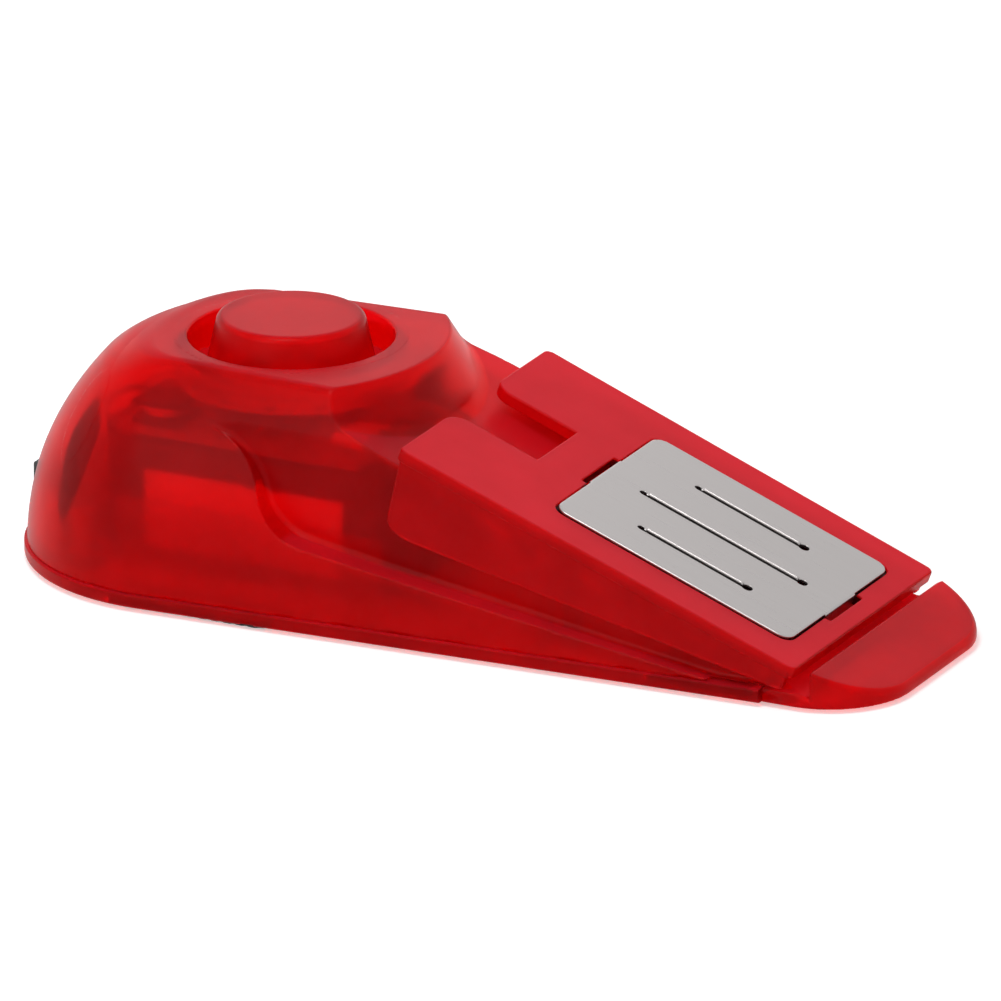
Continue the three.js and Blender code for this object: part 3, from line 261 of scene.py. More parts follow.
def sculpted(name, field, axes, most=None, place=None, soft=0.08):
    """A closed piece whose surface is the field's zero. place turns its own axes into the frame's."""
    p, q = nets(field, axes)
    step = min(float(np.diff(a).min()) for a in axes)
    p = settle(field, p, step / 2)
    if most and 2 * len(q) > most:
        rough = shown(name + "_rough", p, q)
        thin = rough.modifiers.new("thin", "DECIMATE")
        thin.ratio = most / (2 * len(q))
        done = bpy.data.meshes.new_from_object(rough.evaluated_get(bpy.context.evaluated_depsgraph_get()))
        p = np.empty(len(done.vertices) * 3)
        done.vertices.foreach_get("co", p)
        p = settle(field, p.reshape(-1, 3), step / 2, 1)
        q = [tuple(f.vertices) for f in done.polygons]
        bpy.data.objects.remove(rough)
        bpy.data.meshes.remove(done)
    n = gradient(field, p, soft)
    n /= np.maximum(np.linalg.norm(n, axis=1), TINY)[:, None]
    if place is not None:
        turn, move = place
        p, n = p @ turn.T + move, n @ turn.T
    return shown(name, p * MM, [tuple(int(i) for i in f) for f in q], n.tolist())


SLOPE = (np.array([[COS, 0, SIN], [0, 1, 0], [-SIN, 0, COS]]), np.array([FLAP_X, 0, FLAP_Z]))


def level(u, w):
    """From the slope's own axes to x and z of the frame."""
    return FLAP_X + u * COS + w * SIN, FLAP_Z - u * SIN + w * COS


# Camera, light and floor, fitted to the photograph
AZIMUTH, ELEVATION = math.radians(26.4467), math.radians(19.8776)
PHOTO_WIDTH, PIXELS_PER_MM, DISTANCE, SENSOR = 1001, 7.0463, 3.3333, 36
AIM_RIGHT, AIM_UP = 0.0018569, 0.013417
FLAT_OUT, RISE = math.cos(ELEVATION), math.sin(ELEVATION)
BACK = Vector((math.sin(AZIMUTH) * FLAT_OUT, -math.cos(AZIMUTH) * FLAT_OUT, RISE))
RIGHT = Vector((math.cos(AZIMUTH), math.sin(AZIMUTH), 0))
UP = Vector((-math.sin(AZIMUTH) * RISE, math.cos(AZIMUTH) * RISE, FLAT_OUT))
AIM = RIGHT * AIM_RIGHT + UP * AIM_UP + Vector((0, 0, BASE_LOW * MM))


def make_camera():
    data = bpy.data.cameras.new("camera")
    data.sensor_width = SENSOR
    data.lens = SENSOR * DISTANCE * 1000 / (PHOTO_WIDTH / PIXELS_PER_MM)
    data.clip_start, data.clip_end = 0.1, 20
    camera = bpy.data.objects.new("camera", data)
    turn = Matrix((RIGHT, UP, BACK)).transposed()
    camera.matrix_world = Matrix.Translation(AIM + BACK * DISTANCE) @ turn.to_4x4()
    bpy.context.scene.collection.objects.link(camera)
    bpy.context.scene.camera = camera


# Each lamp's place, aim and size, in metres, and its power in watts
LAMPS = {
    "key": ((-0.02, -0.32, 0.85), (0, 0, 0.01), (0.3, 0.3), 3.1),
    "fill": ((-0.25, -0.85, 0.4), (0, 0, 0.01), (0.45, 0.45), 1.8),
    "rim": ((-0.35, 0.8, 0.42), (0, 0, 0.02), (0.5, 0.3), 0.35),
}


def lamp(name, place, aim, size, power):
    data = bpy.data.lights.new(name, "AREA")
    data.shape = "RECTANGLE"
    data.size, data.size_y = size
    data.energy = power
    obj = bpy.data.objects.new(name, data)
    obj.location = place
    obj.rotation_mode = "QUATERNION"
    obj.rotation_quaternion = (Vector(aim) - Vector(place)).to_track_quat("-Z", "Y")
    bpy.context.scene.collection.objects.link(obj)


class Nodes:
    """Shorthands for a material's node tree."""

    def __init__(self, tree):
        self.tree = tree
        tree.nodes.clear()

    def add(self, kind, **settings):
        node = self.tree.nodes.new(kind)
        for key, value in settings.items():
            setattr(node, key, value)
        return node

    def join(self, output, socket):
        self.tree.links.new(output, socket)

    def set(self, node, **values):
        """Sets a node's inputs, told by name with _ for a space, to constants or to other nodes' outputs."""
        for key, value in values.items():
            socket = node.inputs[key.replace("_", " ")]
            if isinstance(value, bpy.types.NodeSocket):
                self.join(value, socket)
            else:
                socket.default_value = value
        return node

    def combine(self, operation, a, b):
        node = self.add("ShaderNodeMath", operation=operation)
        self.join(a, node.inputs[0])
        self.join(b, node.inputs[1])
        return node.outputs[0]

    def place(self):
        """Where a point lies in the frame, in metres, with the part at rest."""
        return self.add("ShaderNodeTexCoord").outputs["Object"]

    def split(self, vector):
        node = self.add("ShaderNodeSeparateXYZ")
        self.join(vector, node.inputs[0])
        return [node.outputs[axis] for axis in "XYZ"]


def material(name):
    made = bpy.data.materials.new(name)
    made.use_nodes = True
    return made, Nodes(made.node_tree)


def is_seen(n):
    """1 for the rays that see the background: camera, glossy and transmission rays."""
    path = n.add("ShaderNodeLightPath")
    first = n.combine("MAXIMUM", path.outputs["Is Camera Ray"], path.outputs["Is Glossy Ray"])
    return n.combine("MAXIMUM", first, path.outputs["Is Transmission Ray"])


WHITE = (1, 1, 1, 1)
WORLD_LIGHT = 0.45
FLOOR_HALF, FLOOR_GREY = 3.0, 0.86
NEAR_GLOW, FAR_GLOW = (0.1, 0.42), (0.5, 0.75)


def make_world():
    """Even light for the part, and plain white for the rays that see the background."""
    world = bpy.data.worlds.new("studio")
    world.use_nodes = True
    n = Nodes(world.node_tree)
    light = n.set(n.add("ShaderNodeBackground"), Color=WHITE, Strength=WORLD_LIGHT)
    white = n.set(n.add("ShaderNodeBackground"), Color=WHITE, Strength=1.0)
    mix = n.add("ShaderNodeMixShader")
    n.join(is_seen(n), mix.inputs[0])
    n.join(light.outputs[0], mix.inputs[1])
    n.join(white.outputs[0], mix.inputs[2])
    n.set(n.add("ShaderNodeOutputWorld"), Surface=mix.outputs[0])
    bpy.context.scene.world = world


def make_floor():
    """White paper that keeps the part's shadow, and glows more far out, so that it ends in plain white."""
    corners = [(FLOOR_HALF * s, FLOOR_HALF * t, 0.0) for s, t in ((-1, -1), (1, -1), (1, 1), (-1, 1))]
    mesh = bpy.data.meshes.new("floor")
    mesh.from_pydata(corners, [], [(0, 1, 2, 3)])
    floor = bpy.data.objects.new("floor", mesh)
    bpy.context.scene.collection.objects.link(floor)
    made, n = material("floor_paper")
    paper = n.set(n.add("ShaderNodeBsdfDiffuse"), Color=(FLOOR_GREY, FLOOR_GREY, FLOOR_GREY, 1))
    reach_out = n.add("ShaderNodeVectorMath", operation="LENGTH")
    n.join(n.place(), reach_out.inputs[0])
    strength = between(n, reach_out.outputs["Value"], NEAR_GLOW[0], FAR_GLOW[0], NEAR_GLOW[1], FAR_GLOW[1])
    glow = n.set(n.add("ShaderNodeEmission"), Color=WHITE, Strength=times(n, is_seen(n), strength))
    both = n.add("ShaderNodeAddShader")
    n.join(paper.outputs[0], both.inputs[0])
    n.join(glow.outputs[0], both.inputs[1])
    n.set(n.add("ShaderNodeOutputMaterial"), Surface=both.outputs[0])
    mesh.materials.append(made)


# Materials
def noise(n, scale, detail=3.0, rough=0.5):
    texture = n.add("ShaderNodeTexNoise")
    return n.set(texture, Vector=n.place(), Scale=scale, Detail=detail, Roughness=rough).outputs["Fac"]


def ramp(n, value, low, high, start=0.3, end=0.7):
    """A colour that goes from low to high as value goes from start to end."""
    node = n.set(n.add("ShaderNodeValToRGB"), Fac=value)
    for element, place, colour in zip(node.color_ramp.elements, (start, end), (low, high)):
        element.position, element.color = place, (*colour, 1)
    return node.outputs["Color"]


def grey(n, value, low, high, start=0.3, end=0.7):
    return ramp(n, value, (low,) * 3, (high,) * 3, start, end)


def bump(n, height, strength, distance=0.0001):
    node = n.set(n.add("ShaderNodeBump"), Height=height, Strength=strength, Distance=distance)
    return node.outputs["Normal"]


def finish_with(made, n, volume=None, **values):
    shader = n.set(n.add("ShaderNodeBsdfPrincipled"), **values)
    out = n.set(n.add("ShaderNodeOutputMaterial"), Surface=shader.outputs[0])
    if volume is not None:
        n.set(out, Volume=volume.outputs[0])
    return made


def upward(n, start, end):
    """0 on faces that stand up, 1 on faces that lie flat."""
    return between(n, n.split(n.add("ShaderNodeNewGeometry").outputs["Normal"])[2], start, end)


def between(n, value, start, end, low=0.0, high=1.0):
    """Goes from low to high as value goes from start to end."""
    node = n.add("ShaderNodeMapRange", interpolation_type="SMOOTHSTEP")
    n.set(node, Value=value, From_Min=start, From_Max=end, To_Min=low, To_Max=high)
    return node.outputs["Result"]


def within(n, value, low, high, blur):
    """1 where a place, in metres, lies from low to high, in millimetres, with both limits blurred inwards."""
    rise = between(n, value, low * MM, (low + blur) * MM)
    fall = between(n, value, high * MM, (high - blur) * MM)
    return n.combine("MULTIPLY", rise, fall)


def shades(n, value, low, high, share):
    """A ramp whose two colours are both made darker to a share."""
    return ramp(n, value, tuple(share * c for c in low), tuple(share * c for c in high))


def times(n, *values):
    out = values[0]
    for value in values[1:]:
        out = n.combine("MULTIPLY", out, value)
    return out


def mixed(n, share, a, b):
    """Colour a, and as much of colour b as share says. Each may be a constant."""
    node = n.add("ShaderNodeMix", data_type="RGBA")
    for value, socket in ((share, 0), (a, 6), (b, 7)):
        if isinstance(value, tuple):
            node.inputs[socket].default_value = value
        else:
            n.join(value, node.inputs[socket])
    return node.outputs[2]


# These shares paint shade: near-black mixed into the red on the flap's front end and on the toe.
FRONT_PAINTED_SHADE_SHARE, TOE_SHADE_SHARE = 0.3, 0.14


def flap_painted_shade(n):
    """Painted shade: 1 in the flap's seat and slots, which lie in the plate's shade, and a share of that on
    its front end, in the groove before the toe.
    """
    place = n.add("ShaderNodeVectorMath", operation="SUBTRACT")
    n.join(n.place(), place.inputs[0])
    place.inputs[1].default_value = (FLAP_X * MM, 0, FLAP_Z * MM)
    along, above = [n.add("ShaderNodeVectorMath", operation="DOT_PRODUCT") for _ in range(2)]
    for node, way in ((along, (COS, 0, -SIN)), (above, (SIN, 0, COS))):
        n.join(place.outputs[0], node.inputs[0])
        node.inputs[1].default_value = way
    u, v, w = along.outputs["Value"], n.split(place.outputs[0])[1], above.outputs["Value"]
    seat = times(n, within(n, u, TAB_SLOTS[0][0] - 0.3, TAB_SLOTS[1][1] + 0.3, 0.2),
                 within(n, v, -SEAT_HALF - 0.25, SEAT_HALF + 0.25, 0.15),
                 within(n, w, 0.05 - FLAP_THICK, 0.2 - SEAT_DEPTH, 0.1))
    front = between(n, u, (SLOPE_RUN - 0.3) * MM, (SLOPE_RUN - 0.1) * MM, 0.0, FRONT_PAINTED_SHADE_SHARE)
    return n.combine("MAXIMUM", seat, front)


def toe_shade(n):
    """Painted shade: a small share of dark on the toe, which is darker than the roof in the photograph."""
    return between(n, n.split(n.place())[0], (TOE_REAR - 1.0) * MM, TOE_REAR * MM, 0.0, TOE_SHADE_SHARE)


# The red of flat tops is paler and pinker than that of the sides: a painted sheen.
SIDE_RED, TOP_RED_PAINTED_SHEEN = ((0.86, 0.003, 0.007), (0.99, 0.006, 0.013)), ((0.9, 0.015, 0.032), (0.99, 0.019, 0.04))
# The first colour here is the near-black of painted shade, mixed into the red where the shade masks say.
PAINTED_SHADE_RED, DEPTH_RED, DEPTH_DENSITY = (0.02, 0.002, 0.002, 1), (0.9, 0.1, 0.1, 1), 150.0
RED_IOR, SIDE_ROUGHNESS, TOP_ROUGHNESS = 1.135, 0.31, 0.4
RED_CLOUDS, RED_GRAIN, FLAT_FROM = 90.0, 1400.0, (0.84, 0.92)


def clear_red(name, side_painted_shade, top_painted_shade, side_clear, top_clear, painted_shade):
    """Red see-through plastic: milky red with a clear share, and darker with depth. Flat tops are duller, and
    their paler, pinker red is a painted sheen. The side and top shade numbers are painted shade, and the
    shade mask mixes in more painted shade.
    """
    made, n = material(name)
    cloud, grain = noise(n, RED_CLOUDS), noise(n, RED_GRAIN, 2.0)
    top = upward(n, *FLAT_FROM)
    colour = mixed(n, top, shades(n, cloud, *SIDE_RED, side_painted_shade), shades(n, cloud, *TOP_RED_PAINTED_SHEEN, top_painted_shade))
    volume = n.set(n.add("ShaderNodeVolumeAbsorption"), Color=DEPTH_RED, Density=DEPTH_DENSITY)
    return finish_with(
        made, n, volume,
        Base_Color=mixed(n, painted_shade(n), colour, PAINTED_SHADE_RED),
        Roughness=grey(n, top, SIDE_ROUGHNESS, TOP_ROUGHNESS, 0.0, 1.0), IOR=RED_IOR,
        Transmission_Weight=grey(n, top, side_clear, top_clear, 0.0, 1.0), Normal=bump(n, grain, 0.03),
    )


PANEL_X, PANEL_TOP, PANEL_BLUR = (-48.2, -15.8), 16.6, (1.0, 0.8)


def two_tone(name):
    """A battery's jacket: a pale panel on its lower side between dark ends, as the plastic lets it show."""
    made, n = material(name)
    x, _, z = n.split(n.place())
    panel = times(n, within(n, x, *PANEL_X, PANEL_BLUR[0]),
                  between(n, z, PANEL_TOP * MM, (PANEL_TOP - PANEL_BLUR[1]) * MM))
    cloud = noise(n, 70.0)
    return finish_with(
        made, n, Base_Color=ramp(n, panel, (0.05, 0.03, 0.03), (0.95, 0.82, 0.7), 0.0, 1.0),
        Roughness=grey(n, cloud, 0.28, 0.4), Normal=bump(n, cloud, 0.02),
    )


def plain_plastic(name, low, high, roughness, metal=0.0, scale=300.0, bumps=0.15):
    """A plain colour with clouds in it and in its gloss. Also for metals."""
    made, n = material(name)
    cloud = noise(n, scale, 4.0)
    return finish_with(
        made, n, Base_Color=ramp(n, cloud, low, high), Metallic=metal,
        Roughness=grey(n, cloud, roughness - 0.08, roughness + 0.08), Normal=bump(n, cloud, bumps),
    )


BRUSH_SCALE = (60.0, 2600.0, 60.0)


def brushed_steel():
    """Sheet steel, brushed along the slope, with fine streaks in its gloss."""
    made, n = material("steel_sheet")
    stretch = n.add("ShaderNodeMapping")
    stretch.inputs["Scale"].default_value = BRUSH_SCALE
    n.set(stretch, Vector=n.place())
    texture = n.set(n.add("ShaderNodeTexNoise"), Scale=1.0, Detail=4.0, Roughness=0.6)
    streak = n.set(texture, Vector=stretch.outputs["Vector"]).outputs["Fac"]
    return finish_with(
        made, n, Base_Color=ramp(n, streak, (0.4, 0.375, 0.37), (0.415, 0.39, 0.385)), Metallic=1.0,
        Roughness=grey(n, streak, 0.27, 0.31), Normal=bump(n, streak, 0.02),
    )


MATERIALS = {
    # Shell and flap are one plastic: their side and top shade numbers, lighter or darker per piece, are
    # painted shade.
    "clear_red": clear_red("clear_red_shell", 0.97, 0.77, 0.85, 0.6, toe_shade),
    "clear_red_flap": clear_red("clear_red_flap", 0.82, 0.77, 0.72, 0.22, flap_painted_shade),
    "black": plain_plastic("black_moulding", (0.012, 0.012, 0.013), (0.03, 0.03, 0.032), 0.45),
    "rubber": plain_plastic("grip_rubber", (0.02, 0.018, 0.018), (0.045, 0.04, 0.04), 0.8, bumps=0.5),
    "foam": plain_plastic("foam_sheet", (0.03, 0.028, 0.027), (0.07, 0.065, 0.06), 0.9, 0.0, 1500.0, 0.8),
    "steel": brushed_steel(),
    "zinc": plain_plastic("zinc_steel", (0.5, 0.5, 0.49), (0.66, 0.66, 0.64), 0.35, metal=1.0),
    "brass": plain_plastic("brass_sheet", (0.62, 0.44, 0.16), (0.72, 0.52, 0.2), 0.3, metal=1.0),
    "ceramic": plain_plastic("ceramic_disc", (0.7, 0.68, 0.62), (0.8, 0.78, 0.72), 0.5),
    "fibre": plain_plastic("board_fibre", (0.22, 0.11, 0.05), (0.3, 0.16, 0.07), 0.5),
    "copper": plain_plastic("copper_wire", (0.5, 0.2, 0.08), (0.62, 0.27, 0.12), 0.35, 1.0, 2200.0),
    "jacket": two_tone("battery_wrap"),
    "beige": plain_plastic("resistor_body", (0.5, 0.36, 0.2), (0.62, 0.46, 0.28), 0.5),
    "red_wire": plain_plastic("red_wire", (0.4, 0.01, 0.01), (0.5, 0.02, 0.02), 0.45),
}
SLOT_MATERIAL = {
    "clear_red": "clear_red", "black_plastic": "black", "rubber": "rubber", "foam": "foam",
    "sheet_steel": "steel", "zinc_steel": "zinc", "brass_sheet": "brass", "ceramic": "ceramic",
    "board": "fibre", "copper_wire": "copper", "battery_jacket": "jacket", "beige_coating": "beige",
    "red_wire": "red_wire",
}


def dress(obj, key):
    obj.data.materials.clear()
    obj.data.materials.append(MATERIALS[key])


def piece(obj, key, body, slot, *nodes):
    dress(obj, key)
    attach(obj, body)
    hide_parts(*nodes)
    return obj


# Upper housing
BASE_HALF, TOE_HALF, ROOF_HALF, ROOF_DEPTH = 27.6, 22.7, 17.1, 11.05
SIDE_POWER, HEEL_POWER, ROOF_SPREAD = 2.2, 2.28, math.radians(3.1)
DOME_INSET, PROBE = 0.4, 0.25
CONE_X, CONE_R, CONE_TAN, CONE_FILLET = -36.6, 27.6, math.tan(math.radians(31.5)), 0.9
ROOF_EDGE, HEEL_EDGE, HEEL_EDGE_X, HEEL_EDGE_RUN = 1.0, 3.5, -42.0, 10.0
TOE_BLOCK_HALF, TOE_START = 22.1, 30.0
BAND_TOP, BAND_LOW, BAND_X = 27.4, 2.8, HEEL_X + 36.7
BAND_UPPER, BAND_LOWER, BAND_TILT, BAND_FALL = 10.2, 8.6, math.radians(13), math.radians(9)
ARC_STEPS = 12
POCKET_FLARE_X, POCKET_WAIST_X, POCKET_FADE_X = HEEL_X + 66, HEEL_X + 42, HEEL_X + 32
WAIST_HALF, FADE_HALF, SKIRT_ROOM = 20.8, 21.35, 2.3
INNER_SOFT, POCKET_EDGE, RIM_EDGE, SKIN = 1.2, 0.9, 0.22, 0.2


def plan_at(x, y, h, inset):
    """Distance in plan to the outline at height h: an elliptic heel, straight sides and a toe."""
    share = np.maximum(0, (h - BASE_LOW) / (ROOF - BASE_LOW))
    side, heel = share ** SIDE_POWER, share ** HEEL_POWER
    run = TOE_CENTRE - HEEL_CENTRE
    a = HEEL_DEPTH + (ROOF_DEPTH - HEEL_DEPTH) * heel - inset
    b = BASE_HALF + (ROOF_HALF - BASE_HALF) * side - inset
    toe = TOE_HALF + (ROOF_HALF + run * math.tan(ROOF_SPREAD) - TOE_HALF) * side - inset
    cos_f = (b - toe) / run
    sin_f = np.sqrt(1 - cos_f ** 2)
    x1, y1 = HEEL_CENTRE + a * cos_f, b * sin_f
    x2, y2 = TOE_CENTRE + (TOE_RADIUS - inset) * cos_f, toe - (TOE_RADIUS - inset) * (1 - sin_f)
    m = (y1 - y2) / (x2 - x1)
    line = (np.abs(y) - y1 + m * (x - x1)) / np.sqrt(1 + m * m)
    ex, ey = (x - HEEL_CENTRE) / a, y / b
    k0, k1 = np.hypot(ex, ey), np.hypot(ex / a, ey / b)
    return np.where(x > x1, line, k0 * (k0 - 1) / np.maximum(k1, TOUCH))


def dome(x, y, z, inset):
    """The outside of the heel and sides, drawn in towards the roof."""
    slope = (plan_at(x, y, z + PROBE, inset) - plan_at(x, y, z - PROBE, inset)) / (2 * PROBE)
    return plan_at(x, y, z, inset) / np.sqrt(1 + slope * slope)


def s_edge():
    """The S-shaped edge of the side band, from the heel to the toe."""
    cz = BAND_TOP - BAND_UPPER
    lx = BAND_X + (BAND_UPPER + BAND_LOWER) * math.cos(BAND_TILT)
    lz = cz + (BAND_UPPER + BAND_LOWER) * math.sin(BAND_TILT)
    points = [(-FAR, BAND_TOP)]
    for i in range(ARC_STEPS + 1):
        t = math.pi / 2 + (BAND_TILT - math.pi / 2) * i / ARC_STEPS
        points.append((BAND_X + BAND_UPPER * math.cos(t), cz + BAND_UPPER * math.sin(t)))
    for i in range(1, ARC_STEPS + 1):
        t = math.pi + BAND_TILT + (math.pi * 1.5 - BAND_FALL - math.pi - BAND_TILT) * i / ARC_STEPS
        points.append((lx + BAND_LOWER * math.cos(t), lz + BAND_LOWER * math.sin(t)))
    last_x, last_z = points[-1]
    points += [(last_x + (last_z - BAND_LOW) / math.tan(BAND_FALL), BAND_LOW), (FAR, BAND_LOW)]
    return points


S_EDGE = s_edge()


def beside_skirt(x, y):
    """Distance outward from the recessed wall beside the flap's skirt."""
    fade = (FADE_HALF - WAIST_HALF) / (POCKET_WAIST_X - POCKET_FADE_X)
    halves = [WAIST_HALF + fade * (POCKET_WAIST_X + FAR), WAIST_HALF,
              flap_half(POCKET_FLARE_X) - SKIRT_ROOM, flap_half(FAR) - SKIRT_ROOM]
    return np.abs(y) - np.interp(x, [-FAR, POCKET_WAIST_X, POCKET_FLARE_X, FAR], halves)


def outer_form(x, y, z, wall=0.0, soft=0.0):
    """The housing's outside, without its underside, drawn in by a wall, with its edges softer by soft."""
    body = dome(x, y, z, DOME_INSET) + wall
    edge = ROOF_EDGE + HEEL_EDGE * np.clip((HEEL_EDGE_X - x) / HEEL_EDGE_RUN, 0, 1)
    tower = smax(body, z - ROOF + wall, np.maximum(edge, soft))
    cone = (np.hypot(x - CONE_X, y) - CONE_R - (ROOF - z) * CONE_TAN) / math.sqrt(1 + CONE_TAN ** 2)
    deck = (z - deck_z(x)) * COS
    toe_top = smax((z - flap_z(x)) * COS, TOE_REAR - x, WIDE)
    low = np.minimum(deck, toe_top)
    front = smin(cone + wall, low + wall, CONE_FILLET + wall)
    solid = smax(tower, front, ROUND + soft)
    pocket = smax(smax(-over_line(x, z, S_EDGE), -beside_skirt(x, y), POCKET_EDGE), x - TOE_REAR, ROUND)
    rear = np.maximum(smax(solid, wall - pocket, RIM_EDGE + soft), x - TOE_BLOCK)
    plan = plan_box(x, y, (TOE_START, -TOE_BLOCK_HALF), (TOE_X, TOE_BLOCK_HALF), TOE_RADIUS)
    return np.where(x < TOE_BLOCK, rear, smax(smax(plan, low, SOFT), -pocket, ROUND))


POST_R, POST_BORE, POST_LOW, BORE_TOP = 3.2, 1.4, 4.5, 10.7
RECESS_WALL, RECESS_UNDER, SOUND_R, SOUND_LOW = 1.6, 28.4, 9.4, 25.0
BOARD_POST_R, BOARD_POST_REACH, BOARD_POST_LOW = 1.9, 14.4, 24.3
WELL_R, WELL_WALL, WELL_UNDER = 4.25, 1.3, 1.3
PLUNGER_HOLE_R, PLUNGER_HOLE_LOW = 1.9, 2.0
KNOB_SLOT_HALF, KNOB_SLOT_TALL, KNOB_SLOT_END = 1.7 + 1.5 + 0.4, 1.6 + 0.4, -67.0
VENTS, VENT_REACH, VENT_R, VENT_LOW = 12, 13.5, 0.7, 20


def housing(x, y, z):
    outside = outer_form(x, y, z)
    low = np.where(x < TOE_BLOCK, SHELL_LOW, BASE_LOW)
    solid = smax(outside, low - z, np.where(x < TOE_BLOCK, SEAM, WIDE))
    cavity = smax(outer_form(x, y, z, WALL, INNER_SOFT), x - (TOE_BLOCK - WALL), SOFT)
    well_floor = deck_z(SPRING_X) - WELL_DEPTH
    inner = [rod(x, y, z, SIREN_X, 0, RECESS_R + RECESS_WALL, RECESS_UNDER, FAR),
             rod(x, y, z, SPRING_X, 0, WELL_R + WELL_WALL, well_floor - WELL_UNDER, FAR)]
    inner += [rod(x, y, z, px, py, POST_R, POST_LOW, FAR) for px, py in POSTS]
    for s in (-1, 1):
        post_x = SIREN_X + s * BOARD_POST_REACH
        inner.append(rod(x, y, z, post_x, 0, BOARD_POST_R, BOARD_POST_LOW, RECESS_FLOOR))
    shell = smax(solid, -cavity, ROUND)
    shell = smin(shell, np.maximum(many(np_min, inner), outside + SKIN), WIDE)
    cuts = [
        rod(x, y, z, SIREN_X, 0, RECESS_R, RECESS_FLOOR, FAR),
        rod(x, y, z, SIREN_X, 0, SOUND_R, SOUND_LOW, FAR),
        rod(x, y, z, SPRING_X, 0, WELL_R, well_floor, FAR),
        rod(x, y, z, TRIGGER_X, 0, PLUNGER_HOLE_R, PLUNGER_HOLE_LOW, FAR),
        disc(x, z, PIN_X, PIN_Z, PIN_HOLE),
        brick(x, y, z, (HEEL_X - 4, -KNOB_SLOT_HALF, KNOB_Z - KNOB_SLOT_TALL),
              (KNOB_SLOT_END, KNOB_SLOT_HALF, KNOB_Z + KNOB_SLOT_TALL), BROAD),
    ]
    cuts += [rod(x, y, z, px, py, POST_BORE, BELOW, BORE_TOP) for px, py in POSTS]
    for i in range(VENTS):
        t = (i + 0.5) * math.pi / (VENTS / 2)
        cx, cy = SIREN_X + VENT_REACH * math.cos(t), VENT_REACH * math.sin(t)
        cuts.append(rod(x, y, z, cx, cy, VENT_R, VENT_LOW, RECESS_FLOOR + 1))
    return smax(shell, -many(np_min, cuts), FIRM)


def np_min(a, b, _):
    return np.minimum(a, b)


def make_housing():
    step = 0.42
    axes = (spaced(-71.6, 71.8, step, (-14.0,), step / 2, 2.5),
            spaced(-28.2, 28.2, step, (-19.5, 19.5), step / 2, 2.5), spaced(0.0, 35.8, step))
    obj = sculpted("housing_shell", housing, axes, most=MANY)
    piece(obj, "clear_red", "case", "clear_red", "upper_housing")


# Siren cap
CAP_FOOT_R, CAP_TOP_R, CAP_PROUD, CAP_GAP = 12.2, 10.7, 3.1, 0.3
CAP_EDGE, CAP_SHOULDER, CAP_BORE, CAP_ROOF = 0.9, 0.8, 9.3, 1.4


def cap(x, y, z):
    r = np.hypot(x - SIREN_X, y)
    top, foot = ROOF + CAP_PROUD, RECESS_FLOOR + CAP_GAP
    lean = (CAP_FOOT_R - CAP_TOP_R) / (top - CAP_SHOULDER - foot)
    side = (r - CAP_FOOT_R + (z - foot) * lean) / math.sqrt(1 + lean * lean)
    out = smax(smax(side, z - top, CAP_EDGE), foot - z, SMALL)
    return smax(out, -np.maximum(r - CAP_BORE, z - top + CAP_ROOF), SMALL)


def make_cap():
    step = 0.3
    axes = (spaced(SIREN_X - 13, SIREN_X + 13, step), spaced(-13, 13, step), spaced(29.6, 38.8, step))
    piece(sculpted("siren_button", cap, axes), "clear_red", "case", "clear_red", "siren_cap")


# Flap and its steel plate, in the slope's own axes: u down the slope, v across and w out of it
FLAP_CORNER, NOTCH_HALF, NOTCH_DEPTH, PRONG_R = 1.2, 6.3, 14.1, 3.0
PRONG_HALF = 9.3
SKIRT_OUT, SKIRT_IN, SKIRT_TOP, SKIRT_FRONT = 0.4, 1.9, 0.6, 0.9
BEND_STEPS, SKIRT_EDGE_TOP = 5, 40.0
SKIRT_BEND = ((-4.4, 19.1), (-4.4, 16.725), (-0.6, 15.825))
SKIRT_SLOPE_AT, SKIRT_FALL, SKIRT_LOW = (-2.5, 16.25), 0.2237, 3.15
SKIRT_REAR_TOP = (0.055, 0.983)
PEG_R, PEG_DROP, PEG_REACH, PEG_BITE = 2.05, 0.3, 1.4, 0.9
PIN_END = 0.7


def skirt_edge():
    """The skirt's lower edge in x and z: down its rear, round a bend, down a slope and along the base."""
    (ax, az), (bx, bz), (cx, cz) = SKIRT_BEND
    edge = [(ax - SHORTEST, SKIRT_EDGE_TOP), (ax, az)]
    for i in range(1, BEND_STEPS + 1):
        t = i / BEND_STEPS
        edge.append(((1 - t) ** 2 * ax + 2 * t * (1 - t) * bx + t * t * cx,
                     (1 - t) ** 2 * az + 2 * t * (1 - t) * bz + t * t * cz))
    slope_x, slope_z = SKIRT_SLOPE_AT
    return edge + [(slope_x + (slope_z - SKIRT_LOW) / SKIRT_FALL, SKIRT_LOW), (FAR, SKIRT_LOW)]


SKIRT_EDGE = skirt_edge()


def flap_slab(u, v, w, half):
    """The flap's top with its notch between two round prongs, its seat for the plate and its tab slots."""
    qx, qy = np.maximum(-u, u - SLOPE_RUN) + FLAP_CORNER, np.abs(v) - half + FLAP_CORNER
    plan = np.hypot(np.maximum(qx, 0), np.maximum(qy, 0)) + np.minimum(np.maximum(qx, qy), 0) - FLAP_CORNER
    plan = smax(plan, -np.maximum(np.abs(v) - NOTCH_HALF, u - NOTCH_DEPTH), 0.0)
    prong = np.hypot(np.minimum(u - PRONG_R, 0), np.minimum(np.abs(v) - PRONG_HALF, 0)) - PRONG_R
    plan = np.where((u < PRONG_R) & (np.abs(v) < PRONG_HALF), np.maximum(plan, prong), plan)
    slab = smax(smax(plan, w, ROUND), -w - FLAP_THICK, SMALL)
    seat = np.maximum(plan_box(u, v, (SEAT[0], -SEAT_HALF), (SEAT[1], SEAT_HALF), CORNER), -SEAT_DEPTH - w)
    slots = [plan_box(u, v, (a, -TAB_SLOT_HALF), (b, TAB_SLOT_HALF), ROUND) for a, b in TAB_SLOTS]
    return smax(slab, -many(np_min, [seat] + slots), SEAM)


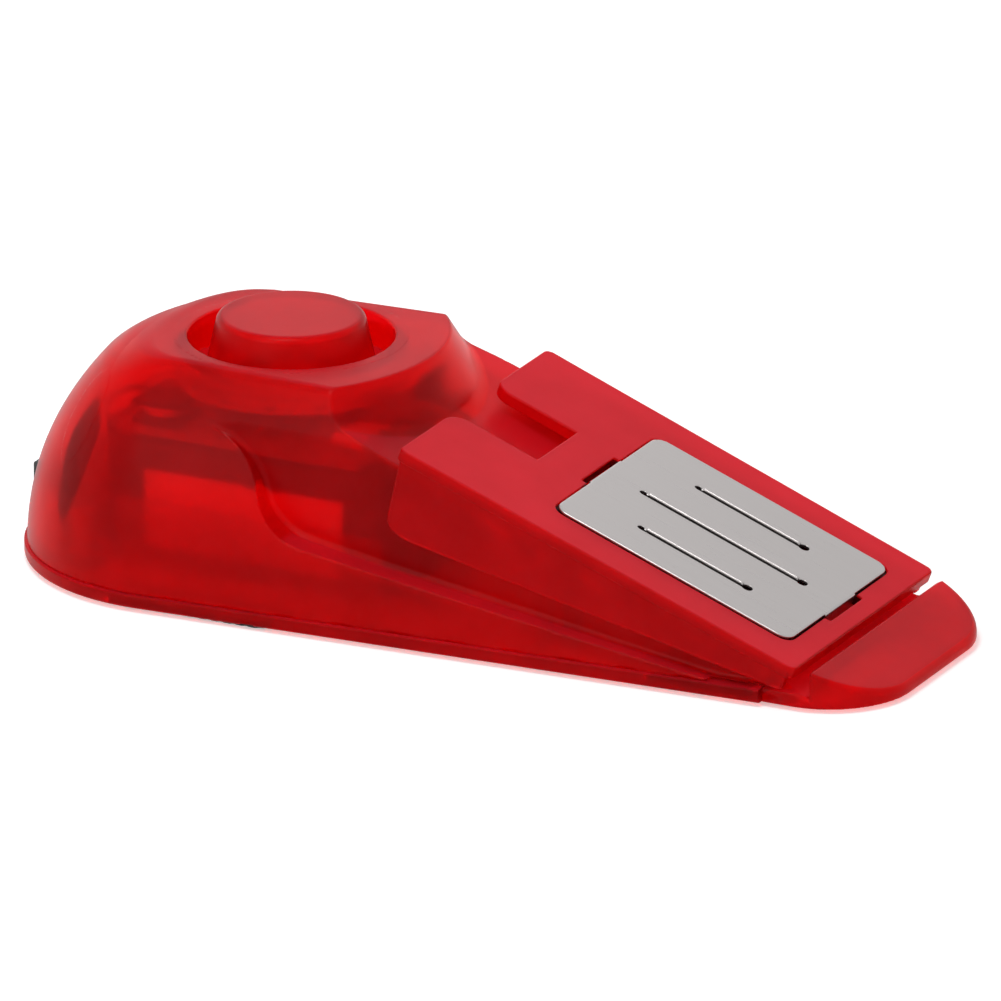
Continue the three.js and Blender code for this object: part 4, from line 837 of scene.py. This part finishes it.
def flap_skirt(x, z, u, v, w, half):
    """The two side skirts, which reach down beside the housing."""
    skirt = smax(smax(np.abs(v) - (half - SKIRT_OUT), half - SKIRT_IN - np.abs(v), MILD),
                 -over_line(x, z, SKIRT_EDGE), ROUND)
    skirt = smax(smax(skirt, w + SKIRT_TOP, 0), u - SLOPE_RUN + SKIRT_FRONT, ROUND)
    rear_x, rear_z = SKIRT_BEND[0]
    lean = (FLAP_X + SKIRT_REAR_TOP[0] - rear_x) / (FLAP_Z - SKIRT_REAR_TOP[1] - rear_z)
    return smax(skirt, (rear_x + lean * (z - rear_z) - x) / math.hypot(1, lean), WIDE)


def flap(u, v, w):
    x, z = level(u, w)
    half = flap_half(x)
    spring_top = flap_z(SPRING_X) - FLAP_THICK / COS - PEG_DROP
    peg = smax(np.hypot(x - SPRING_X, v) - PEG_R, spring_top - PEG_REACH - z, ROUND)
    peg = np.maximum(peg, w + PEG_BITE)
    body = smin(smin(flap_slab(u, v, w, half), flap_skirt(x, z, u, v, w, half), MILD), peg, ROUND)
    pin_half = flap_half(PIN_X) - SKIRT_OUT - PIN_END
    pin = np.maximum(np.hypot(x - PIN_X, z - PIN_Z) - PIN_HOLE, np.abs(v) - pin_half)
    return smax(body, -pin, SLIGHT)


def make_flap():
    rows = (-6.0, -4.6, -3.2, -1.8, 0, 1.4, 2.8, NOTCH_DEPTH, 21.8, 62.0, SLOPE_RUN)
    columns = [s * k for s in (-1, 1) for k in (0, TAB_SLOT_HALF, 6.8, SEAT_HALF, 21.6, 23.4)]
    axes = (
        spaced(-8.0, SLOPE_RUN + 0.9, 0.8, rows, 0.2, 1.0),
        spaced(-24.4, 24.4, 0.8, columns, 0.2, 1.1),
        spaced(-17.5, 0.7, 0.35, (-FLAP_THICK, 0), 0.15, 0.6),
    )
    obj = sculpted("flap_tray", flap, axes, most=MANY, place=SLOPE)
    piece(obj, "clear_red_flap", "flap", "clear_red", "trigger_flap")


STEEL_LOW, STEEL_TOP, SHEET_EDGE = -0.15, 0.3, 0.16
SLITS = ((-9.2, 17.8), (0.0, 26.7), (9.2, 17.8))
SLIT_HALF, LIP_HALF, LIP_RISE, LIP_SHORT = 0.275, 0.3, 0.3, 0.8
REAR_HOLE_R, FRONT_HOLE_R = 0.5, 0.8
TAB_HALF, TAB_DEPTH, TAB_OUT, TAB_ROOT = 4.8, 2.2, 0.25, 0.8


def steel(u, v, w):
    """The plate: a sheet with three slits, whose lips stand up, and a tab bent down at each end."""
    mid = (PLATE_REAR + PLATE_FRONT) / 2
    sheet = plan_box(u, v, (PLATE_REAR, -PLATE_HALF), (PLATE_FRONT, PLATE_HALF), CORNER)
    sheet = smax(smax(sheet, w - STEEL_TOP, SHEET_EDGE), STEEL_LOW - w, HAIR)
    for y, length in SLITS:
        a, b = mid - length / 2, mid + length / 2
        lip = smax(np.abs(v - y - LIP_HALF) - LIP_HALF, np.abs(u - mid) - length / 2 + LIP_SHORT, SMALL)
        lip = smax(smax(lip, w - STEEL_TOP - LIP_RISE, SMALL), STEEL_LOW - w, HAIR)
        sheet = smin(sheet, lip, SLIGHT)
        slit = np.maximum(np.abs(v - y + SLIT_HALF) - SLIT_HALF, np.abs(u - mid) - length / 2)
        holes = np.minimum(disc(u, v, a, y, REAR_HOLE_R), disc(u, v, b, y, FRONT_HOLE_R))
        sheet = smax(sheet, -np.minimum(slit, holes), THIN)
    for edge, way in ((PLATE_REAR, 1), (PLATE_FRONT, -1)):
        out = (edge - u) * way
        outer = smax(out - TAB_OUT, w - STEEL_TOP, ROUND)
        inner = np.maximum(out, w - STEEL_LOW)
        fold = np.maximum(np.maximum(outer, -inner), -TAB_ROOT - out)
        tab = smax(smax(fold, np.abs(v) - TAB_HALF, FINE), -TAB_DEPTH - w, FINE)
        sheet = np.minimum(sheet, tab)
    return sheet


def make_plate():
    rows = [y + d for y, _ in SLITS for d in (-0.4, 0.2)]
    ends = [(PLATE_REAR + PLATE_FRONT) / 2 + s * k for s in (-1, 1) for k in (8.9, 13.35)]
    axes = (
        spaced(PLATE_REAR - 1.0, PLATE_FRONT + 1.0, 0.7, [PLATE_REAR, PLATE_FRONT] + ends, 0.12, 0.9),
        spaced(-17.0, 17.0, 0.7, [-16.3, -4.8, 4.8, 16.3] + rows, 0.1, 0.6),
        spaced(-2.5, 0.9, 0.3, (STEEL_LOW, STEEL_TOP), 0.08, 0.35),
    )
    obj = sculpted("contact_sheet", steel, axes, most=SOME, place=SLOPE, soft=0.04)
    piece(obj, "steel", "flap", "sheet_steel", "contact_plate")


# Base plate, battery door and pads
DOOR_REAR, DOOR_FRONT, DOOR_HALF, DOOR_GAP, DOOR_TOP = -56.9, -9.9, 13.75, 0.4, 2.4
RAIL_REAR, RAIL_FRONT, RAIL_WALL, RAIL_TOP = -51.5, -9.15, 1.2, 12.1
STOP_X, STOP_HALF = (-58.5, -57.3), 6.9
RIB_LOW, RIB_HIGH, RIB_SLOT = (-61.7, 8.8, 0.6), (-57.5, 11.5, 8.6), ((-60.5, 5.0, 2.6), (-58.7, 10.3, 20))
STAND_HALF, STAND_TOP = 3.2, 10.2
STAND_ROOM_HALF, STAND_ROOM_REAR, STAND_ROOM_TOP = 1.8, -8, 8.8
LIP_SEAT = ((-60.3, -5.0, BELOW), (-57.0, 5.0, 1.5))
DOOR_PIN_X, DOOR_PIN_Z, DOOR_PIN_R, DOOR_PIN_END = -10.8, 1.6, 0.5, 1.1
DOOR_PIN_HOLE, PIN_SEAT_HALF, DOOR_ROOM_TOP = 0.75, 15.25, 9
SCREW_HEAD_R, SCREW_HEAD_TOP, BASE_POST_TOP, PARTING = 2.6, 2.7, 4.2, 0.06
PAD_TOP, PAD_SEAT_TOP, PAD_GAP, PAD_EDGE = 1.2, 1.5, 0.3, 0.7
PAD_PITCH, PAD_RIB, PAD_RIB_TOP = 2.0, 0.12, 0.9
PADS = {
    "rear_pad_left": (-48.0, -22.0, -25.9, -20.9),
    "rear_pad_right": (-48.0, -22.0, 20.9, 25.9),
    "front_pad": (34.3, 51.3, -20.3, 20.3),
}
DOOR_LIP = ((-59.5, -4.6, 0.6), (-56.0, 4.6, 1.2))
GRIPS, GRIP_X, GRIP_PITCH, GRIP_WIDTH, GRIP_HALF, GRIP_TOP = 3, -55.4, 1.5, 0.35, 4.6, 0.95
FOAM_X, FOAM_HALF, FOAM_Z = (-52.8, -14.4), 9.75, (2.55, 3.1)


def base(x, y, z):
    plate = smax(smax(plan_at(x, y, 0.0, 0.0), z - BASE_TOP, SEAM), BASE_LOW - z, BROAD)
    plate = smax(plate, x - TOE_BLOCK + PARTING, FINE)
    rail = DOOR_HALF + DOOR_GAP
    parts = [plate] + [rod(x, y, z, px, py, POST_R, BASE_LOW, BASE_POST_TOP, SMALL) for px, py in POSTS]
    parts.append(brick(x, y, z, (STOP_X[0], -STOP_HALF, BASE_LOW), (STOP_X[1], STOP_HALF, RAIL_TOP), MILD))
    rail_ends = (RAIL_REAR, rail, BASE_LOW), (RAIL_FRONT, rail + RAIL_WALL, RAIL_TOP)
    for s in (-1, 1):
        parts.append(brick(x, s * y, z, *rail_ends, MILD))
        rib = brick(x, s * y, z, RIB_LOW, RIB_HIGH, MILD)
        parts.append(np.maximum(rib, -brick(x, s * y, z, *RIB_SLOT, FINE)))
    stand = brick(x, y, z, (TRIGGER_X - STAND_HALF, -STAND_HALF, BASE_LOW),
                  (TRIGGER_X + STAND_HALF, STAND_HALF, STAND_TOP), ROUND)
    room = brick(x, y, z, (TRIGGER_X - STAND_ROOM_HALF, STAND_ROOM_REAR, BASE_TOP),
                 (TRIGGER_X + STAND_ROOM_HALF, STAND_ROOM_HALF, STAND_ROOM_TOP), SMALL)
    parts.append(np.maximum(stand, -room))
    cuts = [
        brick(x, y, z, (STOP_X[1], -rail, BELOW), (RAIL_FRONT, rail, DOOR_ROOM_TOP), SMALL),
        brick(x, y, z, *LIP_SEAT, SMALL),
        np.maximum(disc(x, z, DOOR_PIN_X, DOOR_PIN_Z, DOOR_PIN_HOLE), np.abs(y) - PIN_SEAT_HALF),
    ]
    for px, py in POSTS:
        cuts.append(rod(x, y, z, px, py, SCREW_HEAD_R, BELOW, SCREW_HEAD_TOP))
        cuts.append(rod(x, y, z, px, py, POST_BORE, BELOW, BORE_TOP))
    for x0, x1, y0, y1 in PADS.values():
        seat = plan_box(x, y, (x0 - PAD_GAP, y0 - PAD_GAP), (x1 + PAD_GAP, y1 + PAD_GAP), CORNER)
        cuts.append(np.maximum(seat, z - PAD_SEAT_TOP))
    return smax(many(smin, parts, ROUND), -many(np_min, cuts), SLIGHT)


def door(x, y, z):
    panel = brick(x, y, z, (DOOR_REAR, -DOOR_HALF, BASE_LOW), (DOOR_FRONT, DOOR_HALF, DOOR_TOP), ROUND)
    pins = smax(disc(x, z, DOOR_PIN_X, DOOR_PIN_Z, DOOR_PIN_R), np.abs(y) - DOOR_HALF - DOOR_PIN_END, SLIGHT)
    solid = smin(smin(panel, pins, SMALL), brick(x, y, z, *DOOR_LIP, SMALL), SMALL)
    for i in range(GRIPS):
        rear = GRIP_X + GRIP_PITCH * i
        groove = brick(x, y, z, (rear, -GRIP_HALF, -1), (rear + GRIP_WIDTH, GRIP_HALF, GRIP_TOP), FINE)
        solid = smax(solid, -groove, FINE)
    return solid


def foam(x, y, z):
    form = plan_box(x, y, (FOAM_X[0], -FOAM_HALF), (FOAM_X[1], FOAM_HALF), CORNER)
    return smax(smax(form, z - FOAM_Z[1], SMALL), FOAM_Z[0] - z, SLIGHT)


def make_pad(name, x0, x1, y0, y1):
    """A rubber pad with ribs across its underside."""
    def pad(x, y, z):
        wave = np.maximum(0, np.sin(2 * math.pi * (x - x0) / PAD_PITCH))
        ribs = PAD_RIB * wave * np.clip(PAD_RIB_TOP - z, 0, 1)
        form = smax(plan_box(x, y, (x0, y0), (x1, y1), CORNER), z - PAD_TOP, SMALL)
        return smax(form, ribs - z, PAD_EDGE)

    axes = (spaced(x0 - 0.6, x1 + 0.6, 0.3), spaced(y0 - 0.6, y1 + 0.6, 0.3), spaced(-0.4, 1.6, 0.2))
    piece(sculpted(name + "_rubber", pad, axes), "rubber", "case", "rubber", name)


def make_underside():
    step = 0.4
    axes = (spaced(-71.4, 54.4, step), spaced(-28.2, 28.2, step), spaced(0.1, 12.6, 0.3))
    piece(sculpted("base_tray", base, axes, most=SOME), "clear_red", "case", "clear_red", "base_plate")
    axes = (spaced(-60, -9.4, 0.6, (-59.5, -54, -10.5), 0.2, 2.0),
            spaced(-15.2, 15.2, 0.6, (-14.2, -4.6, 4.6, 14.2), 0.2, 0.8), spaced(0.3, 2.7, 0.15))
    hatch = sculpted("battery_hatch", door, axes, most=FEW)
    piece(hatch, "clear_red", "door", "clear_red", "battery_door")
    for name, place in PADS.items():
        make_pad(name, *place)
    axes = (spaced(-53.4, -13.8, 0.5), spaced(-10.3, 10.3, 0.5), spaced(2.4, 3.3, 0.12))
    pad = piece(sculpted("hatch_foam", foam, axes), "foam", "door", "foam", "door_pad")


# Switch knob, battery and its snap
GRIP_END, FLANGE_X, TONGUE_X = (-71.0, -65.5), (-66.04, -65.04), (-66.0, -63.7)
GRIP_SIZE, FLANGE_SIZE, TONGUE_SIZE = (1.7, 1.6), (4.1, 2.5), (0.85, 0.8)
KNOB_GROOVE_PITCH, KNOB_GROOVE_HALF, KNOB_GROOVE_X = 0.85, 0.175, -70.65
CELL_X, CELL_HALF, CELL_WAIST, CRIMP, CRIMP_LIP = -33.6, (23.2, 13.25, 8.75), 0.18, 22.4, (22.8, 1.1)
SNAP_X, SNAP_HALF, SNAP_WAIST_HALF, SNAP_WAIST_LOW = (-8.0, -3.4), 12.4, 1.2, 3.4


def knob(x, y, z):
    y, z = y - KNOB_Y, z - KNOB_Z

    def block(ends, size, r):
        return brick(x, y, z, (ends[0], -size[0], -size[1]), (ends[1], *size), r)

    solid = smin(block(GRIP_END, GRIP_SIZE, FIRM), block(FLANGE_X, FLANGE_SIZE, SMALL), SMALL)
    solid = smin(solid, block(TONGUE_X, TONGUE_SIZE, SLIGHT), SLIGHT)
    for i in (-1, 0, 1):
        low, high = i * KNOB_GROOVE_PITCH - KNOB_GROOVE_HALF, i * KNOB_GROOVE_PITCH + KNOB_GROOVE_HALF
        solid = smax(solid, -brick(x, y, z, (-FAR, low, BELOW), (KNOB_GROOVE_X, high, -BELOW), THIN), FINE)
    return solid


def cell(x, y, z):
    """The battery: a jacket between two crimped steel ends."""
    half_length, half_width, half_height = CELL_HALF
    along = np.abs(x - CELL_X)
    low, high = (-half_width, BATTERY_Z - half_height), (half_width, BATTERY_Z + half_height)
    body = plan_box(y, z, low, high, CORNER)
    body = smax(body + CELL_WAIST * np.clip((CRIMP - along) / WIDE, 0, 1), along - half_length, FIRM)
    return smax(body, -np.maximum(body + CRIMP_LIP[1], CRIMP_LIP[0] - along), SMALL)


def snap(x, y, z):
    """The connector: two round sockets joined by a moulded bridge."""
    block = brick(x, y, z, (SNAP_X[0], -SNAP_HALF, BATTERY_Z - SNAP_HALF_HEIGHT),
                  (SNAP_X[1], SNAP_HALF, BATTERY_Z + SNAP_HALF_HEIGHT), FULL)
    waist = smax(np.abs(y) - SNAP_WAIST_HALF, BATTERY_Z + SNAP_WAIST_LOW - z, WIDE)
    return smax(block, -waist, BROAD)


def make_inside():
    axes = (spaced(-71.3, -63.3, 0.12), spaced(-6.0, 3.0, 0.12), spaced(5.9, 11.7, 0.12))
    piece(sculpted("slide_knob", knob, axes, most=FEW), "black", "knob", "black_plastic", "switch_knob")
    axes = (spaced(-57.4, -9.8, 1.0, (-56.6, -10.6), 0.2, 1.2), spaced(-13.8, 13.8, 0.5),
            spaced(3.2, 21.7, 0.5))
    piece(sculpted("nine_volt_cell", cell, axes), "jacket", "case", "battery_jacket", "battery")
    axes = (spaced(-8.5, -2.9, 0.35), spaced(-12.9, 12.9, 0.4), spaced(5.7, 19.2, 0.4))
    piece(sculpted("snap_moulding", snap, axes), "black", "case", "black_plastic", "battery_snap")


# Spring and leads
SPRING_R, WIRE_R, SPRING_GAP, SPRING_TURNS, SPRING_STEPS = 3, 0.35, 0.3, 5, 36
POWER_R, LEAD_R = 0.55, 0.35


def tube(name, path, radius, sides=12):
    """A closed tube along a path, whose rings keep their turn from one to the next."""
    path = np.asarray(path, float)
    along = np.gradient(path, axis=0)
    along /= np.linalg.norm(along, axis=1)[:, None]
    side = np.cross(along[0], (0.3, 0.2, 0.9))
    rings = []
    for centre, ahead in zip(path, along):
        side = side - ahead * (side @ ahead)
        side /= np.linalg.norm(side)
        other = np.cross(ahead, side)
        turn = np.arange(sides) * 2 * math.pi / sides
        rings.append(centre + radius * (np.cos(turn)[:, None] * side + np.sin(turn)[:, None] * other))
    points = np.concatenate(rings)
    faces = []
    for k in range(len(path) - 1):
        for i in range(sides):
            j = (i + 1) % sides
            faces.append((k * sides + i, k * sides + j, (k + 1) * sides + j, (k + 1) * sides + i))
    faces.append(tuple(range(sides))[::-1])
    faces.append(tuple(range((len(path) - 1) * sides, len(path) * sides)))
    obj = shown(name, points * MM, faces)
    obj.data.set_sharp_from_angle(angle=math.radians(50))
    return obj


def through(points, steps=8):
    """A smooth curve through the points, with even turns where they bunch."""
    p = [np.array(q, float) for q in points]
    p = [2 * p[0] - p[1]] + p + [2 * p[-1] - p[-2]]
    out = []
    for a, b, c, d in zip(p, p[1:], p[2:], p[3:]):
        t = [0.0]
        for m, n in ((a, b), (b, c), (c, d)):
            t.append(t[-1] + max(np.linalg.norm(n - m), 1e-6) ** 0.5)
        for s in np.linspace(t[1], t[2], steps, endpoint=False):
            a1 = (t[1] - s) / (t[1] - t[0]) * a + (s - t[0]) / (t[1] - t[0]) * b
            a2 = (t[2] - s) / (t[2] - t[1]) * b + (s - t[1]) / (t[2] - t[1]) * c
            a3 = (t[3] - s) / (t[3] - t[2]) * c + (s - t[2]) / (t[3] - t[2]) * d
            b1 = (t[2] - s) / (t[2] - t[0]) * a1 + (s - t[0]) / (t[2] - t[0]) * a2
            b2 = (t[3] - s) / (t[3] - t[1]) * a2 + (s - t[1]) / (t[3] - t[1]) * a3
            out.append((t[2] - s) / (t[2] - t[1]) * b1 + (s - t[1]) / (t[2] - t[1]) * b2)
    out.append(p[-2])
    return out


def make_spring():
    low = deck_z(SPRING_X) - WELL_DEPTH + SPRING_GAP + WIRE_R
    high = flap_z(SPRING_X) - FLAP_THICK / COS - SPRING_GAP - WIRE_R - (SPRING_R + WIRE_R) * WEDGE
    count = SPRING_TURNS * SPRING_STEPS
    path = []
    for i in range(count + 1):
        t = 2 * math.pi * i / SPRING_STEPS
        height = low + (high - low) * i / count
        path.append((SPRING_X + SPRING_R * math.cos(t), SPRING_R * math.sin(t), height))
    obj = piece(tube("flap_spring", path, WIRE_R), "zinc", "case", "zinc_steel", "return_spring")
    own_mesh(obj)


def snap_route(y):
    top = BATTERY_Z + SNAP_HALF_HEIGHT
    return [(25.7, y, top + 0.3), (25.7, y, 19.9), (23.9, y, 24), (19.6, y, 26), (16.9, y, BOARD_TOP + 0.85)]


def piezo_route(s):
    return [(0, s * 5.6, 26.7), (0.3, s * 7.6, 25.7), (0.9, s * 10, 25), (1.5, s * 12.5, BOARD_TOP + 0.65)]


def switch_route(s):
    return [(-27.3, s * 6, 16.5), (-27.3, s * 6, 20), (-25.9, s * 6, 23.2), (-22.4, s * 6, 25.4),
            (-19.4, s * 6, 25.5), (-16.9, s * 6, BOARD_TOP + 0.65)]


def trigger_route(s):
    return [(37.4, s * 2.2, 11.8), (34.5, s * 4, 14), (30.5, s * 6.6, 18.6), (25.5, s * 7.4, 22.4),
            (21.1, s * 7.4, 24.9), (16.9, s * 7.4, BOARD_TOP + 0.65)]


def make_leads():
    """The leads, on the CAD's routes, which are told from the siren's axis."""
    routes = {
        "snap_lead_red": (snap_route(4), POWER_R), "snap_lead_black": (snap_route(-3), POWER_R),
        "piezo_lead_red": (piezo_route(-1), LEAD_R), "piezo_lead_black": (piezo_route(1), LEAD_R),
        "switch_lead_1": (switch_route(-1), LEAD_R), "switch_lead_2": (switch_route(1), LEAD_R),
        "trigger_lead_1": (trigger_route(-1), LEAD_R), "trigger_lead_2": (trigger_route(1), LEAD_R),
    }
    for name, (route, radius) in routes.items():
        path = through([(SIREN_X + x, y, z) for x, y, z in route])
        key, slot = ("red_wire", "red_wire") if name.endswith("red") else ("black", "black_plastic")
        piece(tube(name + "_wire", path, radius), key, "case", slot, name)


# Make it all
bpy.context.scene.view_settings.view_transform = "Standard"
make_camera()
make_world()
make_floor()
for lamp_name, setting in LAMPS.items():
    lamp(lamp_name, *setting)

for part in frame["record"]["subparts"]:
    dress(frame["nodes"][part["node"]], SLOT_MATERIAL[part["material_slot"]])

make_housing()
make_cap()
make_flap()
make_plate()
make_underside()
make_inside()
make_spring()
make_leads()
